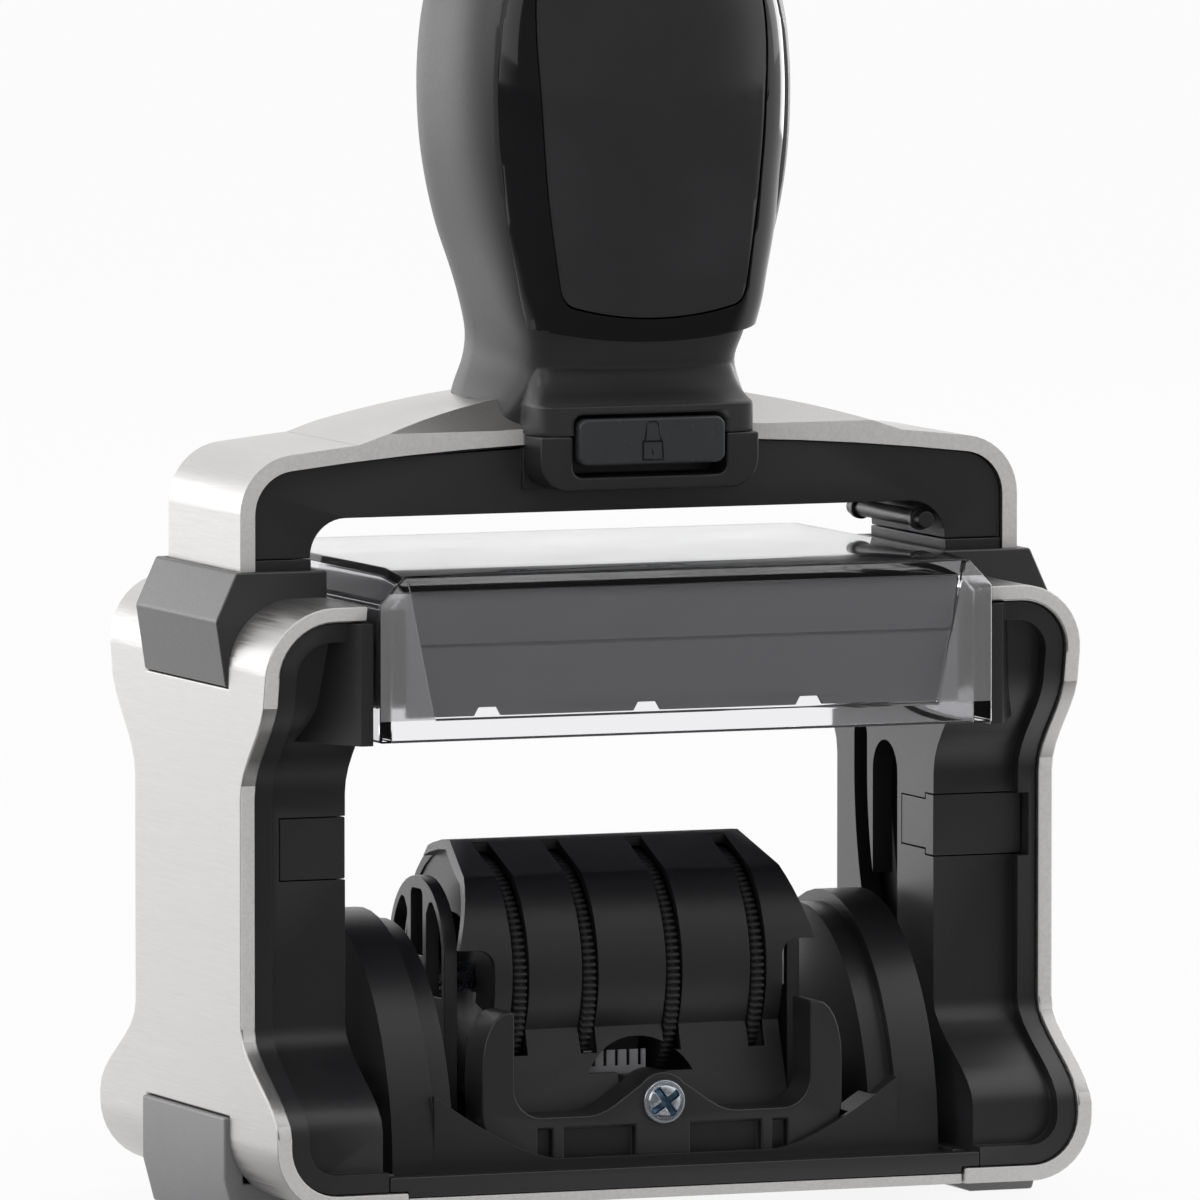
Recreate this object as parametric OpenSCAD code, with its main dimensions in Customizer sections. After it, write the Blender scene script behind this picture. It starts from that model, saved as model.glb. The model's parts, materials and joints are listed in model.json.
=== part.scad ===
// Self-inking date stamp, pressed down and locked, with its thumbwheels up.
// Millimetres. +X is right, +Y is back and +Z is up. The origin is on the table, under the middle.

/* [Base] */
// Width over the steel sides
base_w = 88; // [86:0.5:92]
// Thickness of the steel sheet
steel_t = 1.6; // [1.4:0.1:1.8]
// Height of the steel underside above the table
foot_lift = 2.5; // [2.2:0.1:3]
// Height of the steel shoulders above the table
base_top = 62.7; // [62:0.1:63.5]
// Outer bend radius of the shoulders
shoulder_r = 7; // [6:0.5:8]
// Outer bend radius at the foot of the sides
foot_r = 6.5; // [6:0.5:8]
// Half depth of the base at its feet
foot_half = 25.65; // [25.65:0.05:27]
// Half depth of the base at its waist
waist_half = 15.2; // [15:0.1:17]
// Half depth of the base at its shoulders
shoulder_half = 22; // [21:0.5:23]
// Half depth of the base at its top edge
top_half = 23.8; // [23:0.1:25]
// Height where the foot starts to narrow
foot_z = 10; // [9:0.5:12]
// Height where the waist starts
waist_lo = 20; // [19:0.5:22]
// Depth of the waist's upper end below the shoulders
waist_drop = 19.7; // [18:0.1:21]
// Depth of the shoulder bulge below the shoulders
bulge_drop = 8.7; // [7:0.1:10]
// Width of a pillar, from the window to the steel's outer face
pillar_w = 12.1; // [11.6:0.1:12.5]
// How far the steel's bottom flanges reach under the window
seam_in = 1.9; // [1.5:0.1:3]
// How far the pillar faces lie behind the steel edge
fascia_inset = 2.4; // [2:0.1:2.6]
// Width of the raised rim along the steel
rim_w = 1.9; // [1.2:0.1:2.4]
// How far the rim lies behind the steel edge
rim_inset = 0.6; // [0.4:0.1:1]

/* [Feet, collars and sill] */
// Depth of a foot
foot_d = 23.6; // [22:0.2:26]
// Height of a foot's side plate
foot_h = 10.8; // [9:0.2:12]
// How far a foot stands out of the steel side
foot_out = 0.5; // [0.3:0.1:0.8]
// Wall of a guide collar in front of the strap
collar_wall = 1.1; // [0.9:0.1:1.5]
// Depth of a collar below the steel shoulders
collar_drop = 8.7; // [7:0.1:9.5]
// Height of a collar above the steel shoulders
collar_rise = 2.7; // [2.4:0.1:3.2]
// How far a collar's crease stands out of the steel side
collar_out = 1.2; // [0.8:0.1:1.6]
// Depth of the sill bars
sill_d = 4.2; // [3.6:0.1:4.6]
// Height of the sill above the steel underside
sill_h = 3.15; // [2.6:0.05:3.6]

/* [Moving arch] */
// Depth of the steel strap
strap_d = 20.5; // [19:0.1:21]
// Height of the strap's top above the steel shoulders
strap_rise = 16.4; // [16:0.1:16.8]
// Radius of the strap's long top curve
strap_arch_r = 310; // [280:10:400]
// Radius of the strap's corners
strap_corner_r = 6; // [5:0.5:8]
// Height of the strap's lower ends
strap_low = 30; // [26:1:34]
// Depth of the arch bar below the strap's top
arch_depth = 8.7; // [8.2:0.1:9.2]
// Radius of the arch bar's inner corners
arch_corner_r = 3.8; // [3:0.1:3.8]
// Half length of the raised crown
crown_hw = 29.4; // [27:0.2:31]
// Height of the crown's curve above the strap
crown_h = 3.6; // [3:0.1:4]
// Radius of the cross pin in the arch's right corner
arch_pin_r = 0.85; // [0.7:0.05:1]
// Radius of the pin's rings
pin_ring_r = 1.15; // [1.1:0.05:1.4]
// Travel of the arch
stroke = 30; // [28:0.5:30]

/* [Handle] */
// Half width of the aprons and of the lock housing
apron_hw = 11.8; // [10.5:0.1:12.5]
// Front of the aprons, ahead of the middle
apron_front = 15.3; // [14.8:0.1:16]
// Depth behind which the grip is matt and ahead of which the bezel starts
bezel_cut = 11.4; // [11:0.1:12]
// Height of the bezel's lower lip above the strap's top
lip_rise = 8.6; // [8.2:0.1:9.2]
// Radius of the lip's curve
bezel_lip_r = 55; // [45:1:80]
// Radius of the handle screws
handle_screw_r = 1.5; // [1.2:0.1:1.8]
// Distance of the handle screws from the middle
handle_screw_x = 7; // [6:0.5:8]

/* [Lock] */
// Half width of the lock button
button_hw = 7.9; // [7:0.1:8.2]
// Depth of the button's lower edge below the strap's top
button_drop = 3.7; // [3.3:0.1:3.9]
// Height of the button
button_h = 4.7; // [4.2:0.1:5]
// Corner radius of the button
button_r = 1; // [0.6:0.1:1.5]
// Gap round the button
button_gap = 0.4; // [0.3:0.1:0.5]
// Extra room below the button
button_room = 0.8; // [0:0.1:1]
// How far the button stands out of its housing
button_proud = 0.7; // [0.4:0.1:1]
// Travel of the button
button_travel = 2; // [1.5:0.1:2.2]

/* [Pad cassette] */
// Depth of the cassette's underside below the steel shoulders
pad_drop = 13.6; // [13.2:0.1:14]
// Height of the cassette
pad_h = 17; // [16.6:0.1:17]
// Depth of the slopes along the clear cover's long top edges
pad_slope_d = 6.7; // [5:0.1:8]
// Height of the slopes
pad_slope_h = 0.5; // [0.4:0.1:1]
// Width of the bevels along the clear cover's ends
pad_bevel_w = 2.9; // [2.4:0.1:3.2]
// Height of the bevels
pad_bevel_h = 3.1; // [2.6:0.1:3.2]
// How far the guides beside the cassette lie behind its front
guide_step = 1.1; // [0.8:0.1:2]
// Width of a guide's flat front
guide_w = 1.3; // [1:0.1:2]
// Width over which a guide slopes back into its pillar
guide_run = 5.4; // [4:0.1:6]
// Depth of a guide
guide_d = 10; // [9:0.5:11]
// How far the cassette lies inside the depth of the base
pad_inset = 0.15; // [0.1:0.05:0.5]
// Depth of the window in the clear cover's front
pane_sink = 0.6; // [0.4:0.1:0.8]
// Width of the clear cover's end pillars at the foot of the window
pane_side = 5.9; // [5:0.1:7]
// How far the window widens towards its top
pane_flare = 3; // [2:0.1:3.2]
// Height of the bar below the window
pane_low = 2.2; // [1.8:0.1:3]
// Width of the ledge that the cassette slides on
pad_ledge = 1.1; // [0.9:0.1:1.3]
// Wall of the clear cover
cover_wall = 1.5; // [1.3:0.1:1.7]
// Thickness of the inked felt
felt_t = 6.4; // [5:0.1:6.6]
// Wall of the pad tray
tray_wall = 1.1; // [0.9:0.1:1.3]

/* [Print unit] */
// Height of the die face above the table while locked
die_face = 2; // [2:0.1:2.4]
// Distance of the flip axis from the die face
die_drop = 10; // [9.6:0.1:10.4]
// Distance of the text die's ends from the cradle's sides
die_margin = 1.55; // [1:0.05:2.5]
// Depth of the text die
die_d = 33; // [31:0.5:34]
// Thickness of the text die
die_t = 1.65; // [1.4:0.05:1.7]
// Thickness of the text plate
plate_t = 1.15; // [1:0.05:1.3]
// Gap between the cradle and the window's walls
unit_gap = 2.35; // [2:0.05:2.6]
// Half depth of the cradle's cheeks
cheek_half = 19.8; // [19:0.1:20]
// Height of the cheeks above their foot
cheek_h = 25.3; // [24:0.1:26]
// Gap between the end plates and the cheeks
cheek_gap = 3.05; // [2.6:0.05:3.6]
// Radius of the flip axles
axle_r = 1.8; // [1.5:0.1:2]
// Radius of the boss round a flip axle
boss_r = 2.95; // [2.8:0.05:3.2]
// Radius of the flip pins
pin_r = 1.4; // [1.2:0.1:1.5]
// Distance of a flip pin from the flip axis
cam_r = 6.5; // [6.2:0.1:6.8]
// Straight run at the top of the cam slot
cam_dwell = 3.2; // [2:0.1:3.4]

/* [Dials] */
// Height of the dial axle above the die face
dial_lift = 20.8; // [20.6:0.1:21]
// Radius of the thumbwheels
wheel_r = 12.4; // [12.2:0.1:12.5]
// Thickness of a thumbwheel's rim
wheel_t = 1.2; // [1:0.1:1.3]
// Number of teeth on a thumbwheel
wheel_teeth = 44; // [30:2:60]
// Radius of a thumbwheel's hub
hub_r = 5; // [4.6:0.1:5.2]
// Radius of the dial axle
dial_axle_r = 1.5; // [1.2:0.1:1.8]
// Thickness of a date band
band_t = 0.8; // [0.6:0.1:1]
// Step from the end plates to the wheel cover's flared ends
cover_step = 0.2; // [0.1:0.1:0.5]
// Flare of the wheel cover's ends below its shoulders
cover_flare = 2.2; // [2:0.1:2.5]
// Step from the flared ends to the ends of the ridge
ridge_step = 3.6; // [3:0.1:4]
// Step from the flared ends to the cover's lower front
brow_step = 3.7; // [3.5:0.1:4.2]
// Radius of the cover at its ridge
ridge_r = 13.9; // [13.8:0.1:14.2]
// Radius of the cover at its brow, low on the front
brow_r = 11.9; // [11.8:0.1:12.3]
// Wall of the wheel cover
shell_t = 1; // [0.8:0.1:1.1]
// Width of a thumb slot
slot_w = 1.8; // [1.7:0.1:2.2]
// Half width of the U-shaped end plates
u_hw = 19.5; // [19:0.1:19.7]
// Radius of the plate screws' heads
screw_head_r = 2.25; // [2:0.05:2.5]
// Radius of the plate screws
screw_r = 1.3; // [1:0.1:1.4]

/* [Fits] */
// Gap of pieces that slide past each other
slide_gap = 0.3; // [0.25:0.05:0.35]
// Gap of pieces that are seated in each other
seat_gap = 0.1; // [0.05:0.05:0.15]
// Radial gap of a pin that turns in its bore
run_gap = 0.05; // [0.03:0.01:0.08]

/* [Hidden] */
$fn = 48;

LEFT = -1;
RIGHT = 1;
FAR = 200;

// Colours
steel = [0.80, 0.79, 0.77];
black = [0.09, 0.09, 0.10];
matt = [0.14, 0.14, 0.15];
grey = [0.45, 0.45, 0.47];
light = [0.72, 0.72, 0.73];
clear = [0.80, 0.82, 0.85];
rubber = [0.22, 0.22, 0.24];
zinc = [0.78, 0.80, 0.84];

// Across the base, from the window outwards
base_hw = base_w / 2;
window_hw = base_hw - pillar_w;
seam_x = window_hw - seam_in;
guide_wall = 2.2;
steel_in = base_hw - steel_t;
frame_out = steel_in - seat_gap;
strap_out = steel_in - slide_gap;
strap_in = strap_out - steel_t;
channel_in = window_hw + guide_wall;
leg_in = channel_in + slide_gap;
leg_out = strap_in - seat_gap;
pad_hw = window_hw + pad_ledge;
frame_top_in = pad_hw + slide_gap;
steel_end = frame_top_in + slide_gap;

// Up and down the base
steel_floor = foot_lift + steel_t;
frame_bottom = steel_floor + seat_gap;
floor_wall = 2;
channel_floor = frame_bottom + floor_wall;
shoulder_z = base_top - bulge_drop;
waist_hi = base_top - waist_drop;
strap_top = base_top + strap_rise;
pad_bottom = base_top - pad_drop;
pad_top = pad_bottom + pad_h;
pad_half = foot_half - pad_inset;
ledge_z = pad_bottom - slide_gap;
collar_bottom = base_top - collar_drop;
collar_top = base_top + collar_rise;
seam_gap = 1.1;
arch_seam = collar_top + seam_gap;
arch_under = strap_top - arch_depth;

// Depth of the sliding pieces
strap_half = strap_d / 2;
arch_step = 0.55;
arch_half = strap_half - arch_step;
leg_step = 0.35;
leg_half = strap_half - leg_step;
channel_half = strap_half + slide_gap;
collar_half = channel_half + collar_wall;
foot_half_d = foot_d / 2;
foot_reach = 6.5;
foot_in = seam_x + foot_reach;

// Flip axis and cam slot
pivot_h = die_face + die_drop;
slot_half = boss_r + slide_gap;
boss_root = 0.5;
cam_half = pin_r + slide_gap;
leg_wall = 1.5;
leg_bottom = pivot_h - boss_r - leg_wall;

// Return springs
spring_wire = 0.4;
spring_turns = 12;
pocket_wall = 0.8;
pocket_half = 2.9;
pocket_top = 38;
pocket_in = leg_in + pocket_wall;
spring_x = (pocket_in + leg_out) / 2;
spring_r = (leg_out - pocket_in) / 2 - slide_gap - spring_wire;
rod_r = spring_r - spring_wire - slide_gap;
rod_short = 4;
rod_top = pocket_top - rod_short;

// Snap-in gates in the pillars
gate_z0 = 34.5;
gate_z1 = 40.7;
gate_w_left = 7;
gate_w_right = 9.6;
gate_t = 2.2;
gate_step = 0.6;
tongue_clear = 1.2;

// Side view of the base: half depth at each height
outline_steps = 8;
outline_z = concat(
    [0, foot_lift],
    [for (i = [0:outline_steps]) foot_z + (waist_lo - foot_z) * i / outline_steps],
    [for (i = [0:outline_steps]) waist_hi + (shoulder_z - waist_hi) * i / outline_steps],
    [base_top, base_top + collar_rise]
);

function ease(a, b, t) = a + (b - a) * (1 - cos(180 * t)) / 2;
function lerp(a, b, t) = a + (b - a) * t;
function half_depth(z) =
    z <= foot_z ? foot_half :
    z < waist_lo ? ease(foot_half, waist_half, (z - foot_z) / (waist_lo - foot_z)) :
    z <= waist_hi ? waist_half :
    z < shoulder_z ? ease(waist_half, shoulder_half, (z - waist_hi) / (shoulder_z - waist_hi)) :
    lerp(shoulder_half, top_half, (z - shoulder_z) / (base_top - shoulder_z));

function arc(cx, cy, r, a0, a1, n = 10) =
    [for (i = [0:n]) let (a = a0 + (a1 - a0) * i / n) [cx + r * cos(a), cy + r * sin(a)]];
function reversed(p) = [for (i = [len(p) - 1:-1:0]) p[i]];
function mirrored(p) = [for (i = [len(p) - 1:-1:0]) [-p[i][0], p[i][1]]];

// Extrudes a drawing of (Y, Z) from x0 to x1
module along_x(x0, x1) {
    translate([x0, 0, 0]) rotate([90, 0, 90]) linear_extrude(x1 - x0) children();
}

// Extrudes a drawing of (X, Z) from y0 to y1
module along_y(y0, y1) {
    translate([0, y1, 0]) rotate([90, 0, 0]) linear_extrude(y1 - y0) children();
}

module box(low, high) {
    translate(low) cube(high - low);
}

// A piece drawn on the right, or its mirror image on the left
module on_side(side) {
    if (side == LEFT) mirror([1, 0, 0]) children();
    else children();
}

module rod_x(x0, x1, y, z, r) {
    translate([x0, y, z]) rotate([0, 90, 0]) cylinder(h = x1 - x0, r = r);
}

module rod_y(y0, y1, x, z, r) {
    translate([x, y1, z]) rotate([90, 0, 0]) cylinder(h = y1 - y0, r = r);
}

// Rectangle with rounded lower corners and square or rounded upper ones
module tab(hw, z0, z1, r_low, r_high) {
    right = concat(
        arc(hw - r_low, z0 + r_low, r_low, -90, 0),
        r_high > 0 ? arc(hw - r_high, z1 - r_high, r_high, 0, 90) : [[hw, z1]]
    );
    polygon(concat(right, mirrored(right)));
}

// One unbroken helical wire, standing on z0
module coil(r, wire, z0, z1, turns) {
    per_turn = 8;
    sides = 6;
    count = turns * per_turn;
    rise = z1 - z0 - 2 * wire;
    points = [for (i = [0:count], j = [0:sides - 1])
        let (a = 360 * i / per_turn, b = 360 * j / sides, q = r + wire * cos(b))
        [q * cos(a), q * sin(a), z0 + wire + rise * i / count + wire * sin(b)]];
    walls = [for (i = [0:count - 1], j = [0:sides - 1])
        let (k = (j + 1) % sides, a = i * sides + j, b = i * sides + k)
        each [[a, a + sides, b], [b, a + sides, b + sides]]];
    ends = [for (j = [1:sides - 2])
        each [[0, j, j + 1], [count * sides, count * sides + j + 1, count * sides + j]]];
    echo(coil_gap = rise / turns - 2 * wire);
    polyhedron(points, concat(walls, ends));
}

// Side view of the base, set in from the steel edge
module side_view(inset) {
    front = [for (z = outline_z) [half_depth(z) - inset, z]];
    polygon(concat(front, mirrored(front)));
}

// Line along the bent side, set in from its outer face
function bend_line(inset, x_low, x_high) = concat(
    [[x_low, foot_lift + inset]],
    arc(base_hw - foot_r, foot_lift + foot_r, foot_r - inset, -90, 0),
    arc(base_hw - shoulder_r, base_top - shoulder_r, shoulder_r - inset, 0, 90),
    [[x_high, base_top - inset]]
);

module steel_side(side) {
    color(steel) on_side(side) difference() {
        intersection() {
            along_y(-FAR, FAR) polygon(concat(
                bend_line(0, seam_x, steel_end),
                reversed(bend_line(steel_t, seam_x, steel_end))
            ));
            along_x(0, FAR) side_view(0);
        }
        box([0, -collar_half - seat_gap, collar_bottom - seat_gap],
            [FAR, collar_half + seat_gap, FAR]);
        box([foot_in - seat_gap, -foot_half_d - seat_gap, -FAR],
            [FAR, foot_half_d + seat_gap, foot_h + seat_gap]);
    }
}

// Cam slot that turns the print unit over as the arch rises
function cam_at(t) = [-cam_r * cos(180 * t), pivot_h + stroke * t - cam_r * sin(180 * t)];
function cam_way(t) = [cam_r * PI * sin(180 * t), stroke - cam_r * PI * cos(180 * t)];
function cam_edge(t, w) = let (d = cam_way(t) / norm(cam_way(t))) cam_at(t) + w * [-d[1], d[0]];

module cam_slot() {
    steps = 32;
    polygon(concat(
        [for (i = [0:steps]) cam_edge(i / steps, cam_half)],
        [for (i = [steps:-1:0]) cam_edge(i / steps, -cam_half)]
    ));
    translate(cam_at(0)) circle(cam_half);
    translate([cam_r - cam_half, pivot_h + stroke]) square([2 * cam_half, cam_dwell]);
    translate([cam_r, pivot_h + stroke + cam_dwell]) circle(cam_half);
}

// Upright slot that the axle boss rides in
module boss_slot() {
    translate([-slot_half, pivot_h]) square([2 * slot_half, stroke]);
    translate([0, pivot_h]) circle(slot_half);
    translate([0, pivot_h + stroke]) circle(slot_half);
}

// Plug of the loading way: a plate in the face and a tongue in the guide wall
module gate(side, gap) {
    face = fascia_inset - waist_half;
    open = gap > 0 ? gate_t : 0;
    width = side == LEFT ? gate_w_left : gate_w_right;
    box([window_hw - open, face - open, gate_z0 - gap],
        [window_hw + width + gap, -channel_half - seat_gap + gap, gate_z1 + gap]);
    box([window_hw - open, -channel_half - gate_t / 2, gate_z0 + gate_step - gap],
        [channel_in - seat_gap + gap, -slot_half - tongue_clear + gap, gate_z1 - gate_step + gap]);
}

// Guides in front of and behind a pillar, beside the cassette
module pad_guides() {
    front = pad_half - guide_step;
    flat = frame_top_in + guide_w;
    for (way = [0, 1]) mirror([0, way, 0]) translate([0, 0, ledge_z]) linear_extrude(FAR) polygon([
        [frame_top_in, -front], [flat, -front], [flat + guide_run, guide_d - front],
        [frame_top_in, guide_d - front]
    ]);
}

module side_frame(side) {
    inset = steel_t + seat_gap;
    color(black) on_side(side) difference() {
        union() {
            intersection() {
                along_y(-FAR, FAR) polygon(concat(
                    bend_line(inset, window_hw, frame_top_in),
                    [[frame_top_in, ledge_z], [window_hw, ledge_z]]
                ));
                along_x(0, FAR) side_view(fascia_inset);
            }
            intersection() {
                along_y(-FAR, FAR) polygon(concat(
                    bend_line(inset, window_hw, frame_top_in),
                    reversed(bend_line(inset + rim_w, window_hw, frame_top_in))
                ));
                along_x(0, FAR) side_view(rim_inset);
            }
            intersection() {
                along_y(-FAR, FAR) polygon(concat(
                    bend_line(inset, window_hw, frame_top_in), [[frame_top_in, ledge_z], [window_hw, ledge_z]]
                ));
                pad_guides();
            }
        }
        box([channel_in, -channel_half, channel_floor], [FAR, channel_half, FAR]);
        box([0, -collar_half - seat_gap, collar_bottom - seat_gap],
            [FAR, collar_half + seat_gap, FAR]);
        along_x(0, channel_in + 1) boss_slot();
        along_x(0, channel_in + 1) cam_slot();
        gate(side, seat_gap);
        translate([spring_x, 0, 0]) cylinder(h = FAR, r = rod_r + run_gap);
    }
}

module track_gate(side) {
    color(matt) on_side(side) gate(side, 0);
}

module base_sill() {
    set_back = 0.45;
    lip = 1.2;
    edge = 0.4;
    side_clear = 0.65;
    overlap = 1;
    front = foot_half - set_back;
    back = front - sill_d;
    top = foot_lift + sill_h;
    seat = steel_floor + seat_gap;
    bar = [[-front, seat], [-front, top], [-front + lip, top], [-back, seat + edge], [-back, seat]];
    side_in = unit_hw + side_clear;
    end = window_hw - seat_gap;
    color(black) union() {
        for (turn = [0, 180]) rotate([0, 0, turn]) {
            along_x(-end, end) polygon(bar);
            box([-seam_x + seat_gap, -front, foot_lift], [seam_x - seat_gap, -back, seat]);
            box([side_in, -back - overlap, seat], [end, back + overlap, top]);
        }
    }
}

module collar(side) {
    crease_drop = 4.8;
    low_out = 0.2;
    top_in = 1;
    color(grey) on_side(side) difference() {
        along_y(-collar_half, collar_half) polygon([
            [frame_top_in, collar_bottom], [base_hw + low_out, collar_bottom],
            [base_hw + collar_out, collar_top - crease_drop],
            [base_hw - top_in, collar_top], [frame_top_in, collar_top]
        ]);
        box([channel_in, -channel_half, 0], [steel_in, channel_half, FAR]);
    }
}

module foot(side) {
    toe = 1.2;
    toe_h = 4.5;
    out = base_hw + foot_out;
    color(grey) on_side(side) along_y(-foot_half_d, foot_half_d) polygon([
        [seam_x, foot_lift - seat_gap], [foot_in, 0], [out - toe, 0], [out, toe_h], [out, foot_h],
        [steel_in, foot_h], [steel_in, steel_floor], [foot_in, steel_floor], [foot_in, foot_lift - seat_gap]
    ]);
}

module guide_rods() {
    color(zinc) for (side = [LEFT, RIGHT]) on_side(side)
        translate([spring_x, 0, frame_bottom]) cylinder(h = rod_top - frame_bottom, r = rod_r);
}

module return_spring(side) {
    color(zinc) on_side(side) translate([spring_x, 0, 0])
        coil(spring_r, spring_wire, channel_floor + seat_gap, pocket_top - seat_gap, spring_turns);
}

// Strap and arch share one outline, set in from the strap's outer face
strap_corner_x = strap_out - strap_corner_r;
strap_centre_z = strap_top - strap_arch_r;
strap_corner_z = strap_centre_z
    + sqrt(pow(strap_arch_r - strap_corner_r, 2) - pow(strap_corner_x, 2));
strap_lean = asin(strap_corner_x / (strap_arch_r - strap_corner_r));

function strap_line(inset, low) = let (
    right = concat(
        [[strap_out - inset, low]],
        arc(strap_corner_x, strap_corner_z, strap_corner_r - inset, 0, 90 - strap_lean),
        arc(0, strap_centre_z, strap_arch_r - inset, 90 - strap_lean, 90, 6)
    )
) concat(right, mirrored(right));

function strap_z(x) = strap_centre_z + sqrt(pow(strap_arch_r, 2) - x * x);

module crown() {
    foot = strap_z(crown_hw);
    rise = strap_top + crown_h - foot;
    radius = (crown_hw * crown_hw + rise * rise) / (2 * rise);
    half_angle = asin(crown_hw / radius);
    flank = crown_h + 1;
    crown_root = 0.5;
    intersection() {
        along_y(-strap_half, strap_half)
            polygon(arc(0, foot + rise - radius, radius, 90 - half_angle, 90 + half_angle, 24));
        along_x(-FAR, FAR) polygon([
            [-strap_half, 0], [strap_half, 0], [strap_half, strap_z(crown_hw / 2)],
            [strap_half - flank, strap_top + crown_h], [flank - strap_half, strap_top + crown_h],
            [-strap_half, strap_z(crown_hw / 2)]
        ]);
        box([-FAR, -FAR, foot - crown_root], [FAR, FAR, FAR]);
    }
}

module handle_screw_holes(gap) {
    for (side = [LEFT, RIGHT])
        translate([side * handle_screw_x, 0, 0])
            cylinder(h = arch_under + handle_screw_len + 1, r = handle_screw_r + gap);
}

module steel_strap() {
    color(steel) difference() {
        union() {
            along_y(-strap_half, strap_half)
                polygon(concat(strap_line(0, strap_low), reversed(strap_line(steel_t, strap_low))));
            difference() {
                crown();
                along_y(-FAR, FAR) polygon(strap_line(steel_t, strap_low));
            }
        }
        handle_screw_holes(seat_gap);
    }
}

screw_sink = 2.4;
screw_slot_h = 1.2;
screw_seat = arch_under + screw_sink;
screw_head_gap = 0.4;
screw_slot = 0.4;
screw_slot_top = arch_under + screw_slot_h;
handle_screw_len = 28;
handle_screw_head = 2;

module arch_bar() {
    right = concat(
        [[leg_in, arch_seam]],
        arc(leg_in - arch_corner_r, arch_under - arch_corner_r, arch_corner_r, 0, 90)
    );
    color(black) difference() {
        union() {
            along_y(-arch_half, arch_half) polygon(concat(
                strap_line(steel_t + seat_gap, arch_seam), reversed(concat(right, mirrored(right)))
            ));
            box([-apron_hw, -strap_half - seat_gap, housing_z0],
                [apron_hw, 0, strap_z(apron_hw) - steel_t - slide_gap]);
        }
        handle_screw_holes(seat_gap);
        for (side = [LEFT, RIGHT])
            translate([side * handle_screw_x, 0, 0])
                cylinder(h = screw_seat, r = 2 * handle_screw_r + seat_gap);
    }
}

module guide_leg(side) {
    color(black) on_side(side) difference() {
        union() {
            box([leg_in, -leg_half, leg_bottom], [leg_out, leg_half, arch_seam - seat_gap]);
            rod_x(window_hw + seat_gap, leg_in + boss_root, 0, pivot_h, boss_r);
        }
        box([pocket_in, -pocket_half, 0], [FAR, pocket_half, pocket_top]);
        rod_x(0, pocket_in + boss_root, 0, pivot_h, axle_r + run_gap);
    }
}

module arch_pin() {
    reach = (arch_corner_r - pin_ring_r - seat_gap) * cos(45);
    ring_t = 0.9;
    ring_in = 1.4;
    x = leg_in - arch_corner_r + reach;
    z = arch_under - arch_corner_r + reach;
    color(black) union() {
        rod_y(-arch_half, arch_half, x, z, arch_pin_r);
        for (y = [ring_in - arch_half, arch_half - ring_in - ring_t])
            rod_y(y, y + ring_t, x, z, pin_ring_r);
    }
}

// Lock housing, button and spring
bezel_lip = strap_top + lip_rise;
housing_drop = 6.3;
housing_top_drop = 0.75;
housing_z0 = strap_top - housing_drop;
housing_z1 = strap_top - housing_top_drop;
housing_r = 3;
housing_back = -strap_half - 2 * seat_gap;
pocket_wall_y = 0.85;
pocket_back = housing_back - pocket_wall_y;
apron_rise = 2.5;
apron_top = strap_top + apron_rise;
neck_rise = 6.7;
neck_z = strap_top + neck_rise;
neck_front = 13;
neck_top = bezel_lip + 2;
button_front = -apron_front - button_proud;
button_clear = 0.2;
button_back = pocket_back - button_travel - button_clear;
button_z0 = strap_top - button_drop;
button_z1 = button_z0 + button_h;

module button_pocket() {
    along_y(-FAR, pocket_back)
        tab(button_hw + button_gap, button_z0 - button_gap - button_room, button_z1 + button_gap,
            button_r, button_r);
}

module lock_housing() {
    color(black) difference() {
        along_y(-apron_front, housing_back) tab(apron_hw, housing_z0, housing_z1, housing_r, 0);
        button_pocket();
    }
}

module lock_button() {
    color(matt) along_y(button_front, button_back)
        tab(button_hw, button_z0, button_z1, button_r, button_r);
}

module lock_spring() {
    coil_r = 1.1;
    wire = 0.15;
    turns = 2.5;
    length = pocket_back - button_back - seat_gap;
    color(zinc) translate([0, pocket_back - seat_gap / 2, (button_z0 + housing_z1) / 2])
        rotate([90, 0, 0]) coil(coil_r, wire, 0, length, turns);
}

// Handle: rows of height above the strap's top, half width, front and back
grip_rows = [
    [-0.7, 12.6, 10.6, 10.4], [0.9, 14.6, 13.4, 11], [3.2, 14.2, 13.2, 10.6], [6.2, 13.2, 12.7, 9.4],
    [8.9, 13, 12.7, 9], [12.1, 13.6, 13.4, 9.4], [15.3, 14.5, 14.2, 10], [19.9, 16, 15.2, 11],
    [24.9, 17.1, 16, 11.7], [29.9, 17.7, 16.4, 12.1], [35.9, 17.8, 16.5, 12.2], [41.9, 17.2, 16, 11.8],
    [46.9, 15.8, 14.8, 10.9], [50.9, 12.9, 12.2, 9.2], [53.3, 8.6, 8.2, 6.4], [54.3, 4, 3.8, 3]
];
bezel_rows = [
    [6.9, 12, 16, 5], [8.9, 12.9, 16.4, 5], [12.1, 13.8, 16.9, 5], [15.3, 14.6, 17.1, 5],
    [19.9, 15.7, 17.3, 5], [24.9, 16.4, 17.5, 5], [29.9, 16.9, 17.6, 5], [35.9, 17, 17.5, 5],
    [41.9, 16.5, 16.9, 5], [46.9, 15, 15.6, 5], [50.5, 12.6, 13.4, 5], [51.9, 10.6, 11.8, 5]
];
function power(v, e) = sign(v) * pow(abs(v), e);

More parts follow.
